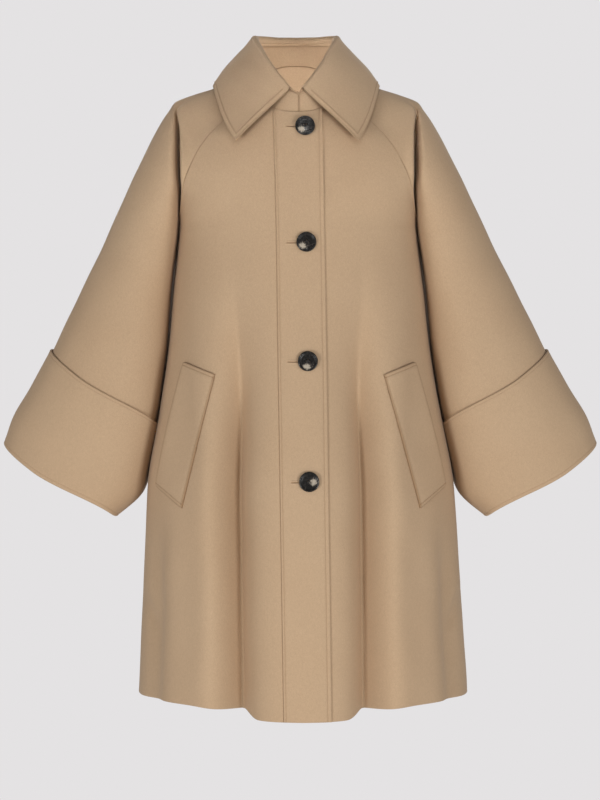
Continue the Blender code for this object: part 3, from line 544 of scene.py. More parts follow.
# Band on the right front's edge, with the four buttonholes. A straight strip of the same wool,
# sewn on with its seam turned in, and stitched again beside the seam and near its free edge.
BAND_STITCH = (0.0036, 0.0058)         # from the seam and from the free edge
BAND_COLUMNS, BAND_LINE = 40, 121      # between the edges, and on a section before it is cut
BAND_GROOVE, BAND_WAVES = 0.0006, 0.6
SEAM_RIDGE, RIDGE_PLACE, RIDGE_WIDTH = 0.0006, 0.0017, 0.0011    # between the seam and its stitches
SLIT_DEPTH, SLIT_WIDTH, SLIT_END = 0.0019, 0.0006, 0.006
LIP_HEIGHT, LIP_PLACE, LIP_WIDTH = 0.0006, 0.0018, 0.0009        # above and below a slit
SLIT_STEP, SLIT_ROOM = 0.0085, 0.10    # rows about a slit, as shares of a row of the pattern
BUTTON_X = 0.0120
BUTTONHOLES = (           # height, turn of the button's four holes, where the slit starts
    (-0.0770, 0, -0.0152), (-0.2470, 40, -0.0163), (-0.4185, 40, -0.0163), (-0.5900, 30, -0.0137),
)


def steps_with(*stitches):
    """Edge steps with closer ones about each line of stitches."""
    fine = [at + step for at in stitches for step in (-0.0014, -0.0007, 0, 0.0007, 0.0014)]
    coarse = [step for step in EDGE_STEPS + (0.0130,)
              if all(abs(step - at) > 0.0021 for at in stitches) or step < 0.0015]
    return sorted(coarse + fine)


def row_at(z):
    """Row of the pattern whose centre line is at this height."""
    if z > UNDERARM:
        return float(np.interp(-z, [-row[0] for row in FRONT_SEAM], range(YOKE + 1)))
    return YOKE + (z - UNDERARM) / (HEM[0][1] - UNDERARM) * SKIRT


def between(row, first, last):
    """The front's section from one x to another across the centre line."""
    half = body_line(row, False)
    line = np.vstack([half[:0:-1] * vec(-1, 1, 1), half])
    ends = np.interp([first, last], line[:, 0], lengths_of(line))
    return at_lengths(line, np.linspace(*ends, BAND_LINE))


def band_cloth():
    """The band, with its slits, and each point's distance from its seam and its free edge."""
    slits = [row_at(z) for z, _, _ in BUTTONHOLES]
    rows = [row for row in body_rows() if all(abs(row - slit) > SLIT_ROOM for slit in slits)]
    rows = np.array(sorted(rows + [slit + step * SLIT_STEP for slit in slits
                                   for step in range(-10, 11)]))
    near_seam, near_edge = steps_with(BAND_STITCH[0]), steps_with(BAND_STITCH[1])
    grid, left, right = [], [], []
    for row in rows:
        line = between(row, line_at(BAND_SEAM, row), line_at(BAND_EDGE, row))
        total = lengths_of(line)[-1]
        inside = np.linspace(near_seam[-1], total - near_edge[-1], BAND_COLUMNS)
        across = np.concatenate([near_seam[:-1], inside, total - np.array(near_edge)[-2::-1]])
        grid.append(at_lengths(line, across))
        left.append(across)
        right.append(total - across)
    grid, left, right = np.array(grid), np.array(left), np.array(right)
    near = edge_distance(rows, left, right)
    normals = facing_out(grid, True)
    push = rippled(grid) * smooth(left / WAVE_FADE) * BAND_WAVES + BAND_LIFT
    press = stitched(left, BAND_STITCH[0], BAND_GROOVE) + stitched(right, BAND_STITCH[1], BAND_GROOVE)
    press -= SEAM_RIDGE * np.exp(-((left - RIDGE_PLACE) / RIDGE_WIDTH) ** 2)
    for z, _, start in BUTTONHOLES:
        x, off = grid[..., 0], np.abs(grid[..., 2] - z)
        ends = smooth((x - start + SLIT_WIDTH) / (2 * SLIT_WIDTH)) * (x < SLIT_END)
        press += ends * (SLIT_DEPTH * np.exp(-(off / SLIT_WIDTH) ** 2)
                         - LIP_HEIGHT * np.exp(-((off - LIP_PLACE) / LIP_WIDTH) ** 2))
    points = grid + normals * push[..., None]
    piece = cloth_piece("front_band_wool", points, normals, near, True, press=press, edge_shade=0.2)
    return piece, points, normals, left, right


band, band_points, band_normals, band_left, band_right = band_cloth()
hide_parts("front_band")

# Sleeves: one piece each, from the neck over the shoulder to below the elbow. The raglan seams
# join them to the front and the back, and a seam inside closes them below the underarm. They
# hang away from the body, and where they leave it the cloth folds in behind the chest.
SHOULDER = (              # x, z, front handle, back handle of the top line, row for row
    (0.0700, 0.0150, 0.022, 0.024), (0.0960, 0.0060, 0.036, 0.040),
    (0.1240, -0.0054, 0.045, 0.050), (0.1540, -0.0155, 0.050, 0.056),
    (0.1827, -0.0270, 0.055, 0.062), (0.1910, -0.0385, 0.058, 0.066),
    (0.1995, -0.0505, 0.060, 0.070), (0.2165, -0.0800, 0.064, 0.076),
    (0.2330, -0.1120, 0.070, 0.082), (0.2480, -0.1420, 0.070, 0.082),
    (0.2605, -0.1690, 0.070, 0.080),
)
SHOULDER_Y = 0.004
FRONT_LEAVE = (           # how the sleeve leaves the front seam: x, y, z
    (0.004, 0.012, 0.016), (0.004, 0.010, 0.032), (0.010, 0.000, 0.040),
    (0.018, -0.002, 0.044), (0.026, -0.004, 0.044), (0.027, -0.008, 0.042),
    (0.027, -0.012, 0.038), (0.022, -0.022, 0.030), (0.014, -0.034, 0.018),
    (0.006, -0.080, 0.008), (0.000, -0.122, 0.000),
)
BACK_LEAVE = (
    (0.018, -0.010, -0.006), (0.018, -0.012, 0.008), (0.020, -0.008, 0.022),
    (0.024, -0.004, 0.034), (0.028, 0.002, 0.040), (0.030, 0.006, 0.042),
    (0.030, 0.010, 0.042), (0.025, 0.026, 0.034), (0.014, 0.042, 0.020),
    (0.006, 0.086, 0.010), (0.000, 0.130, 0.000),
)
ARM_CREASE = (            # place along the section in front, behind, depth in front, behind
    (0.80, 0.80, 0.000, 0.000), (0.80, 0.80, 0.000, 0.000), (0.80, 0.80, 0.000, 0.000),
    (0.76, 0.80, 0.000, 0.000), (0.68, 0.70, 0.009, 0.001), (0.46, 0.55, 0.028, 0.005),
    (0.28, 0.40, 0.044, 0.010), (0.12, 0.25, 0.052, 0.005), (0.07, 0.16, 0.048, 0.000),
    (0.06, 0.12, 0.036, 0.000), (0.05, 0.12, 0.016, 0.000),
)
CREASE_WIDTH, CREASE_SHARP = (0.018, 0.070), 1.3
SLEEVE_RINGS = (          # outer x, outer z, inner z, room, inner y, front, back depth, tilt
    (0.2885, -0.229, -0.300, 0.0020, 0.028, 0.078, 0.084, 0.0026),
    (0.3180, -0.290, -0.366, 0.0010, 0.045, 0.081, 0.087, 0.0052),
    (0.3460, -0.348, -0.437, 0.0000, 0.045, 0.084, 0.090, 0.0091),
    (0.3700, -0.398, -0.508, -0.001, 0.045, 0.086, 0.092, 0.0130),
    (0.4005, -0.453, -0.563, 0.0030, 0.045, 0.086, 0.092, 0.0143),
    (0.4280, -0.500, -0.607, 0.0110, 0.040, 0.084, 0.090, 0.0143),
    (0.4410, -0.5355, -0.641, 0.0450, 0.020, 0.080, 0.086, 0.0143),
)
INNER_HANDLE, OUTER_HANDLE = 1.75, 0.88
SQUARE_REACH = 0.70                    # share of a ring's width over which it turns squarely
COLUMN_SHARES = np.interp(np.linspace(0, 1, 130), (0, 0.45, 0.8, 1), (0, 0.25, 0.85, 1))
SQUARE_FROM, SQUARE_FADE = 8.5, 2.5    # the row where that starts, and how soon it is full
SQUARE_BEHIND = 0.6                    # and its share behind the arm
SLEEVE_WAVES, SLEEVE_WAVE_FADE = 1.2, 0.03
SLEEVE_LINES = (60, 84)                # rows of points above and below the underarm
SLEEVE_END = YOKE + len(SLEEVE_RINGS)
RING_DROP = 0.042                      # about what one ring of the sleeve goes down


def seam_normal(row, back):
    """Which way the body's cloth faces at the raglan seam."""
    seams = np.array(BACK_SEAM if back else FRONT_SEAM)[:, 1:4]
    along = unit(seams[min(row + 1, YOKE)] - seams[max(row - 1, 0)])
    controls = section(row, back)
    across = unit(controls[3] - controls[2])
    return unit(np.cross(across, along) if back else np.cross(along, across))


def sleeve_table(back):
    """Control points of half of each ring, its crease's place and its depth, one row each."""
    facing, table = (1 if back else -1), []
    for row in range(YOKE + 1):
        start = np.array((BACK_SEAM if back else FRONT_SEAM)[row][1:4])
        leave = np.array((BACK_LEAVE if back else FRONT_LEAVE)[row])
        normal = seam_normal(row, back)
        leave = leave - normal * np.dot(leave, normal) * (1 - smooth((row - 5) / 3))
        x, z, front, behind = SHOULDER[row]
        end = vec(x, SHOULDER_Y, z)
        handle = end + vec(0, facing * (behind if back else front), 0)
        crease = ARM_CREASE[row][1::2] if back else ARM_CREASE[row][0::2]
        table.append(np.concatenate([start, start + leave, handle, end, crease]))
    for x, z, inner_z, room, inner_y, front, behind, tilt in SLEEVE_RINGS:
        inner = vec(through(BODY_WIDTH, inner_z) + room, inner_y, inner_z)
        outer = vec(x, SHOULDER_Y, z)
        depth, drop = (behind if back else front), vec(0, 0, tilt * facing)
        first = inner + vec(0, facing * depth * INNER_HANDLE - inner_y * 0.7, 0) + drop
        second = outer + vec(0, facing * depth * OUTER_HANDLE, 0) + drop
        table.append(np.concatenate([inner, first, second, outer, [ARM_CREASE[YOKE][0], 0.0]]))
    return numbered(table)


SLEEVE_TABLES = {back: sleeve_table(back) for back in (False, True)}


def sleeve_line(row):
    """A whole section of the sleeve, from its front seam over the outer line to its back one."""
    halves, share = [], np.linspace(0, 1, DENSE)
    for back in (False, True):
        values = through(SLEEVE_TABLES[back], row)
        controls, (crease, depth) = values[:12].reshape(4, 3), values[12:]
        offset = share - crease
        width = np.where(offset < 0, CREASE_WIDTH[0], CREASE_WIDTH[1])
        half = bezier(controls, share[:, None])
        q = (half[:, 0] - half[0, 0]) / (half[-1, 0] - half[0, 0])
        u = np.clip(q / SQUARE_REACH, 0, 1)
        squarer = smooth((row - SQUARE_FROM) / SQUARE_FADE) * (SQUARE_BEHIND if back else 1)
        half[:, 0] -= (half[-1, 0] - half[0, 0]) * q * squarer * (1 - u) ** 2
        shape = np.exp(-(np.abs(offset) / width) ** CREASE_SHARP)
        half[:, 1] -= (1 if back else -1) * depth * shape
        halves.append(half)
    return np.vstack([halves[0], halves[1][-2::-1]])


BEHIND = 0.02                          # no creases further back than this
SLEEVE_CREASES = (        # from x, z to x, z, widths, depth
    (0.190, -0.100, 0.300, -0.330, 0.030, 0.022, -0.0020),
    (0.255, -0.190, 0.345, -0.400, 0.024, 0.030, -0.0024),
    (0.215, -0.260, 0.262, -0.470, 0.022, 0.018, 0.0026),
    (0.150, -0.030, 0.225, -0.190, 0.020, 0.026, -0.0012),
)


def sleeve_cloth(name, side):
    """One sleeve, a sheet whose two sides are the raglan seams and, lower down, the arm's seam."""
    steps = np.array(EDGE_STEPS)
    top, bottom = steps / ROW_DROP, SLEEVE_END - steps[::-1] / RING_DROP
    rows = np.concatenate([top[:-1], np.linspace(top[-1], YOKE, SLEEVE_LINES[0]),
                           np.linspace(YOKE, bottom[0], SLEEVE_LINES[1])[1:], bottom[1:]])
    grid, left, right = [], [], []
    for row in rows:
        line = sleeve_line(row)
        total = lengths_of(line)[-1]
        first, last = steps[-1], total - steps[-1]
        across = np.concatenate([steps[:-1], first + (last - first) * COLUMN_SHARES,
                                 total - steps[-2::-1]])
        grid.append(at_lengths(line, across) * vec(side, 1, 1))
        left.append(across)
        right.append(total - across)
    grid, left, right = np.array(grid), np.array(left), np.array(right)
    from_seam, solid = np.minimum(left, right), name.replace("_wool", "")
    near = np.minimum(from_seam, np.minimum(rows * ROW_DROP, (SLEEVE_END - rows) * RING_DROP)[:, None])
    normals = facing_out(grid, side > 0)
    inside = smooth(from_seam / SLEEVE_WAVE_FADE) * smooth(rows / 2)[:, None]
    local = grid * vec(side, 1, 1)
    creases = creased(local, SLEEVE_CREASES) * (grid[..., 1] < BEHIND)
    push = (rippled(local) * SLEEVE_WAVES + creases) * inside
    points = grid + normals * push[..., None]
    fade = smooth((rows - UNDERARM_FROM) / UNDERARM_FADE)[:, None]
    fade = np.clip(1 - from_seam / UNDERARM_WIDTH, 0, 1) * fade
    piece = cloth_piece(name, points, normals, near, side > 0, sink=CLOTH / 2 * (1 - fade),
                        edge=0.001)
    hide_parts(solid)
    return points


sleeve_points = {word: sleeve_cloth("sleeve_%s_wool" % word, side)
                 for word, side in (("right", -1), ("left", 1))}

# Cuffs: the sleeves' ends, turned up on the outside as deep, wide cuffs. They stand off the sleeve
# a little along their free edge, which is stitched, as is the fold below.
CUFF_ROW = YOKE + 4
CUFF_AIR = (0.0014, 0.0012)            # at the free edge and at the fold
CUFF_STITCH, FOLD_STITCH = 0.0046, 0.0125
CUFF_GROOVE, FOLD_GROOVE = 0.0003, 0.0005
CUFF_DROP = 0.055                      # what the ring at the free edge goes down to the next one
CUFF_LOW = 0.22                        # share of the last ring where the rows are closer
CUFF_COLUMNS, CUFF_LINES, FOLD_LINES, FOLD_TURN = 133, 34, 12, 12
CUFF_WAVES, CUFF_WAVE_FADE = 1.4, (0.01, 0.03)
MEASURED_COLUMN = 30                   # on the front, where the lengths down the cuff are taken
SEAM_GAP = 0.0003


def cuff_cloth(name, side):
    """One cuff, a ring down to the fold and round it; returns where its stitches run."""
    first = CUFF_ROW + np.array(steps_with(CUFF_STITCH)) / CUFF_DROP
    rows = np.concatenate([first[:-1],
                           np.linspace(first[-1], SLEEVE_END - CUFF_LOW, CUFF_LINES),
                           np.linspace(SLEEVE_END - CUFF_LOW, SLEEVE_END, FOLD_LINES)[1:]])
    across = np.linspace(0, 1, CUFF_COLUMNS)
    base = []
    for row in rows:
        line = sleeve_line(row)
        base.append(at_lengths(line, across * lengths_of(line)[-1]) * vec(side, 1, 1))
    base = np.array(base)
    base[:, -1] = base[:, 0]
    normals = facing_out(base, side > 0, ring=True)
    share = smooth((rows - CUFF_ROW) / (SLEEVE_END - CUFF_ROW))
    air = CUFF_AIR[0] + (CUFF_AIR[1] - CUFF_AIR[0]) * share
    outer = base + normals * (air + CLOTH)[:, None, None]
    down = unit(base[-1] - base[-4])
    down = unit(down - normals[-1] * np.sum(down * normals[-1], axis=1)[:, None])
    middle, arc, arc_normals = CUFF_AIR[1] / 2, [], []
    for turn in np.radians(np.arange(FOLD_TURN, 181, FOLD_TURN)):
        out = normals[-1] * math.cos(turn) + down * math.sin(turn)
        arc.append(base[-1] + normals[-1] * middle + down * SEAM_GAP + out * (middle + CLOTH))
        arc_normals.append(out)
    grid = np.concatenate([outer, arc])
    normals = np.concatenate([normals, arc_normals])
    along = lengths_of(grid[:, MEASURED_COLUMN])
    from_end = along[-1] - along
    near = np.minimum(along, from_end)[:, None] + 0 * grid[..., 0]
    waves = CUFF_WAVES * smooth(along / CUFF_WAVE_FADE[0]) * smooth(from_end / CUFF_WAVE_FADE[1])
    push = rippled(grid * vec(side, 1, 1)) * waves[:, None]
    press = (stitched(along, CUFF_STITCH, CUFF_GROOVE)
             + stitched(from_end, FOLD_STITCH, FOLD_GROOVE))[:, None] + 0 * near
    points = grid + normals * push[..., None]
    piece = cloth_piece(name, points, normals, near, side > 0, ring=True, press=press)
    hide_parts(name.replace("_wool", ""))
    lines = []
    for distance in (CUFF_STITCH, along[-1] - FOLD_STITCH):
        row = int(np.argmin(np.abs(along - distance)))
        lines.append((points[row], normals[row]))
    return lines


cuff_lines = [cuff_cloth("cuff_%s_wool" % word, side)
              for word, side in (("right", -1), ("left", 1))]

# Collar: a low stand sewn to the neck, and the fall, which rolls over from the stand's top edge and
# lies on the shoulders with two pointed ends. Two more pieces of the same wool, the fall's three
# outer edges stitched 7 mm in.
COLLAR_MEET, STAND_SHARE, ROLL_RADIUS = 0.0037, 0.75, 0.0037
COLLAR = (                # roll x, y, z, outer edge x, y, z, fullness
    (0.0095, -0.0965, -0.0185, 0.0885, -0.1290, -0.0995, 0.002),
    (0.0235, -0.0860, 0.0000, 0.0990, -0.1080, -0.0790, 0.003),
    (0.0380, -0.0660, 0.0226, 0.1090, -0.0850, -0.0540, 0.0035),
    (0.0470, -0.0450, 0.0400, 0.1170, -0.0560, -0.0270, 0.004),
    (0.0545, -0.0180, 0.0570, 0.1225, -0.0200, -0.0060, 0.0045),
    (0.0595, 0.0120, 0.0710, 0.1235, 0.0180, -0.0020, 0.0045),
    (0.0600, 0.0340, 0.0770, 0.1140, 0.0600, 0.0000, 0.0045),
    (0.0430, 0.0550, 0.0790, 0.0800, 0.0930, 0.0030, 0.005),
    (0.0220, 0.0640, 0.0790, 0.0400, 0.1090, 0.0040, 0.005),
    (0.0000, 0.0670, 0.0790, 0.0000, 0.1130, 0.0040, 0.005),
)
STATIONS = 90                          # on each half
END_REACH = 1.5 * STATIONS / 14        # stations over which the stand's ends are upright
STAND_LINES, FALL_LINES, ROLL_TURN = 40, 61, 12
COLLAR_COLUMNS, STAND_ROWS, FALL_ROWS = 150, 8, 40     # between the edges
FALL_GROOVE, COLLAR_GROOVE, ROLL_WIDTH = 0.0009, 0.0006, 0.03
CLOSER_WAVES = 1.7                     # the fall's waves are this much shorter
END_SHADE_REACH = 0.003                       # how far in from the stand's two ends the painted shade reaches
FALL_ROOM, BULGE_PEAK, FALL_STITCH = 0.0012, 27 / 4, 0.0068
COLLAR_STITCH = 0.0045                 # inside, above the seam of stand and fall


def half_neck():
    """The neck seam from the centre front to the centre back, on the coat's left."""
    front = beyond(body_line(0, False), COLLAR_MEET)
    return np.vstack([front[:-1], sleeve_line(0)[:-1], body_line(0, True)[::-1]])


def neck_line(count):
    """Points at even distances along the whole neck seam, from its right end to its left one."""
    left = half_neck()
    lap = body_line(0, False)
    lap = lap[lap[:, 0] < COLLAR_MEET]
    right = np.vstack([lap[::-1], left[1:] * vec(-1, 1, 1)])
    whole = np.vstack([right, left[-2::-1]])
    return at_lengths(whole, np.linspace(0, lengths_of(whole)[-1], count))


def cover_of(*sheets):
    """What lies under the collar and the pockets, as one surface to find places on."""
    points, faces = [], []
    for grid in sheets:
        rows, columns = grid.shape[:2]
        first = len(points)
        points += [Vector(point) for point in grid.reshape(-1, 3)]
        for r in range(rows - 1):
            for c in range(columns - 1):
                a = first + r * columns + c
                faces.append((a, a + 1, a + columns + 1, a + columns))
    return BVHTree.FromPolygons(points, faces)


def thinned(grid):
    """Every other row and column, enough to find places on."""
    return grid[::2, ::2]


cover = cover_of(thinned(right_points), thinned(left_points[:, len(EDGE_STEPS):]),
                 thinned(band_points), thinned(back_points), thinned(sleeve_points["right"]),
                 thinned(sleeve_points["left"]))
WITHIN = Vector((0, 0, -0.25))        # a place inside the coat: away from it is outwards


def lay_on(point, room):
    """Move a point out of the cloth below it until it has this much room."""
    place, normal, _, _ = cover.find_nearest(Vector(point))
    if (place - WITHIN).dot(normal) < 0:
        normal = -normal
    height = (Vector(point) - place).dot(normal)
    if height < room:
        return point + np.array(normal) * (room - height)
    return point


def cut_ends(lines, middle, steps):
    """Cut each row of a piece into columns, closer together at its two ends."""
    grid, left, right = [], [], []
    for line in lines:
        total = lengths_of(line)[-1]
        across = spread(total, middle, steps)
        grid.append(at_lengths(line, across))
        left.append(across)
        right.append(total - across)
    return np.array(grid), np.array(left), np.array(right)


def collar_lines():
    """Neck seam, roll and outer edge of the collar at each station, right end to left end."""
    half = through(numbered(COLLAR), np.linspace(0, len(COLLAR) - 1, STATIONS + 1))
    rows = np.array([row * vec(-1, 1, 1, -1, 1, 1, 1) for row in half] + list(half[-2::-1]))
    return neck_line(len(rows)), rows[:, :3], rows[:, 3:6], rows[:, 6]


def stand_and_fall():
    """Lines down the stand and down the fall, a line for each station."""
    neck, roll, edge, fullness = collar_lines()
    along = np.gradient(roll, axis=0)
    stand, fall = [], []
    for i in range(len(neck)):
        rise = roll[i] - neck[i]
        up = unit(rise)
        out = unit(np.cross(up, along[i]))
        if np.dot(out, roll[i] - vec(0, -0.01, roll[i][2])) < 0:
            out = -out
        top = neck[i] + rise * STAND_SHARE
        from_end = min(i, len(neck) - 1 - i)
        top[0] += (neck[i][0] - top[0]) * math.exp(-(from_end / END_REACH) ** 2)
        stand.append([top + (neck[i] - top) * share for share in np.linspace(0, 1, STAND_LINES)])
        centre = roll[i] - up * ROLL_RADIUS + out * (ROLL_RADIUS - CLOTH)
        line = [top - out * CLOTH]
        line += [centre + ROLL_RADIUS * (up * math.sin(a) - out * math.cos(a))
                 for a in np.radians(np.arange(0, 181, ROLL_TURN))]
        start = line[-1]
        bulge = unit(np.cross(edge[i] - start, along[i]))
        if np.dot(bulge, out + vec(0, 0, 0.5)) < 0:
            bulge = -bulge
        for share in np.linspace(0, 1, FALL_LINES)[1:]:
            full = fullness[i] * share * share * (1 - share) * BULGE_PEAK
            line.append(lay_on(start + (edge[i] - start) * share + bulge * full,
                               CLOTH + FALL_ROOM))
        fall.append(line)
    return np.array(stand), np.array(fall)


def down_lines(lines, middle, near_start, near_end):
    """Cut each line of a piece at the same distances from its two ends; return rows."""
    cut, from_start, from_end = [], [], []
    for line in lines:
        total = lengths_of(line)[-1]
        places = np.concatenate([near_start[:-1],
                                 np.linspace(near_start[-1], total - near_end[-1], middle),
                                 total - np.array(near_end)[-2::-1]])
        cut.append(at_lengths(line, places))
        from_start.append(places)
        from_end.append(total - places)
    return np.array(cut).transpose(1, 0, 2), np.array(from_start).T, np.array(from_end).T


def collar_pieces():
    """Stand and fall, and the fall's points, normals and distances from its four edges."""
    stand, fall = stand_and_fall()
    steps = list(EDGE_STEPS)
    rows, above, below = down_lines(stand, STAND_ROWS, steps[:7], steps[:7])
    grid, left, right = cut_ends(rows, COLLAR_COLUMNS, steps)
    near = np.minimum(np.minimum(left, right),
                      np.minimum(above[:, :1], below[:, :1]) + 0 * left)
    normals = facing_out(grid, False)
    # painted shade, strongest at the stand's two ends, for the dark gap where they meet and the shade
    # under the fall
    edge_shade = 0.2 + 0.8 * np.exp(-np.minimum(left, right) / END_SHADE_REACH)
    stand_piece = cloth_piece("collar_stand_wool", grid, normals, near, False, edge=0.0008,
                              edge_shade=edge_shade)
    inner, outer = steps_with(COLLAR_STITCH), steps_with(FALL_STITCH)
    rows, above, below = down_lines(fall, FALL_ROWS, inner, outer)
    grid, left, right = cut_ends(rows, COLLAR_COLUMNS, outer)
    left, right = left * slanted(grid), right * slanted(grid)
    across = np.minimum(left, right)
    above, below = above[:, :1] + 0 * left, below[:, :1] + 0 * left
    near = np.minimum(across, np.minimum(above, below))
    normals = facing_out(grid, True)
    hem_line = np.minimum(across, below)
    press = stitched(hem_line, FALL_STITCH, FALL_GROOVE) * (above > ROLL_WIDTH)
    press = press + stitched(above, COLLAR_STITCH, COLLAR_GROOVE)
    soft = rippled(grid * CLOSER_WAVES) * smooth(hem_line / WAVE_FADE)
    points = grid + normals * (soft * (above > ROLL_WIDTH))[..., None]
    fall_piece = cloth_piece("collar_fall_wool", points, normals, near, True, press=press)
    return stand_piece, fall_piece, points, normals, (left, right, above, below)


def slanted(grid):
    """Sine of the angle at which each row meets the two front edges."""
    sines = []
    for column, other in ((0, 3), (-1, -4)):
        edge = unit(np.gradient(grid[:, column], axis=0))
        row = unit(grid[:, other] - grid[:, column])
        sines.append(np.linalg.norm(np.cross(edge, row), axis=1))
    middle = grid.shape[1] // 2
    columns = np.arange(grid.shape[1])
    return np.where(columns < middle, sines[0][:, None], sines[1][:, None])


collar_stand, collar_fall, fall_points, fall_normals, fall_edges = collar_pieces()
fall_left, fall_right, fall_above, fall_below = fall_edges
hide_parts("collar_stand")
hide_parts("collar_fall")

# Pockets: wide slanted welts, each a doubled strip of wool laid on the front and stitched down
# along its ends and its inner side. The hand goes in under the long outer side.
POCKET = (                # x, z of the corners, outer top first
    (0.1681, -0.416), (0.1212, -0.436), (0.1710, -0.629), (0.2118, -0.598),
)
POCKET_ROOM, POCKET_CORNER = 0.0012, 0.0055
WELT_STITCH, WELT_GROOVE, WELT_LINES, WELT_COLUMNS = 0.0050, 0.0008, 40, 12
INNER_STITCH, INNER_GROOVE = 0.0018, 0.0003
MOUTH_LIFT, MOUTH_WIDTH = 0.0026, 0.012        # how far the long outer side stands off the front
SETTLE, SETTLE_WIDTH = 0.0007, 0.004           # how far the inner side is sewn down


def rounded_corner(a, b, radius):
    """Bend the corner of a rectangle, a and b from its sides, into a quarter circle."""
    p, q = np.clip(1 - a / radius, 0, 1), np.clip(1 - b / radius, 0, 1)
    inside = (p > 0) & (q > 0)
    move_a = np.where(inside, p * (1 - np.sqrt(1 - q * q / 2)), 0) * radius
    move_b = np.where(inside, q * (1 - np.sqrt(1 - p * p / 2)), 0) * radius
    return a + move_a, b + move_b


def welt_cloth(name, side):
    """One welt, with its points, normals and the distances down and over it."""
    corners = np.array(POCKET)
    high = np.linalg.norm(corners[3] - corners[0])
    wide = np.linalg.norm(corners[1] - corners[0])
    steps = steps_with(WELT_STITCH)
    down, over = spread(high, WELT_LINES, steps), spread(wide, WELT_COLUMNS, steps)
    grid = []
    for b in down:
        line = []
        for a in over:
            p, q = rounded_corner(np.float64(a), np.float64(min(b, high - b)), POCKET_CORNER)
            q = q if b < high / 2 else high - q
            top = corners[0] + (corners[1] - corners[0]) * p / wide
            bottom = corners[3] + (corners[2] - corners[3]) * p / wide
            x, z = top + (bottom - top) * q / high
            place, normal, _, _ = cover.ray_cast(Vector((side * x, -1, z)), Vector((0, 1, 0)))
            if normal.y > 0:
                normal = -normal
            line.append(np.array(place) + np.array(normal) * (POCKET_ROOM + CLOTH))
        grid.append(line)
    grid = np.array(grid)
    ends = np.minimum(down, high - down)[:, None]
    near = np.minimum(np.minimum(over, wide - over)[None, :], ends)
    normals = facing_out(grid, side < 0)
    inner_side = (wide - over)[None, :] + 0 * near
    press = (stitched(ends + 0 * near, WELT_STITCH, WELT_GROOVE)
             + stitched(inner_side, INNER_STITCH, INNER_GROOVE))
    lift = MOUTH_LIFT * np.exp(-(over / MOUTH_WIDTH) ** 2) * np.sin(np.pi * down / high)[:, None]
    settle = SETTLE * np.exp(-(inner_side / SETTLE_WIDTH) ** 2)
    points = grid + normals * (lift - settle)[..., None]
    # the welt's edges get the full painted shade, for the shadow round its edges
    piece = cloth_piece(name, points, normals, near, side < 0, press=press, edge_shade=1.0)
    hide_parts(name.replace("_wool", ""))
    return points, normals, over, down


welts = {word: welt_cloth("pocket_welt_%s_wool" % word, side)
         for word, side in (("right", -1), ("left", 1))}

# Buttons: polished dark horn with pale streaks, turned with a raised rim round a dished face, and
# drilled with four holes. Each stands on a shank of the dark thread that crosses its holes.
BUTTON_RADIUS, HOLE_RADIUS, HOLE_REACH = 0.0146, 0.00105, 0.0026
DISC_HEIGHT, DISC_SHARE = 0.0026, 0.9  # of the plain disc below the rim, as wide as this share
TURNING = (               # how far each step of the rim and the face rises, and how it widens
    (0.0006, 1.10), (0.0006, 1.0), (0.0006, 0.965), (0.0003, 0.95), (0.0, 0.95), (-0.0004, 0.95),
    (-0.0008, 0.95), (-0.0005, 0.93), (0.0, 0.9), (0.0001, 0.75), (-0.0002, 0.6), (-0.0001, 0.6),
)
BAR_HALF, BAR_LEVEL, BAR_PITCH = (HOLE_REACH * 0.82, 0.00026, 0.00032), 0.0026, 0.00030
BAR_SHIFT = HOLE_REACH * 0.707         # of the bars from the middle, out to the holes
SHANK_RADIUS, SHANK_LENGTH, SHANK_LEVEL = 0.0021, 0.0030, -0.0014
UPRIGHT = 0.65                         # how far a button hangs upright and not square to the cloth
BUTTON_ROOM = 0.0006


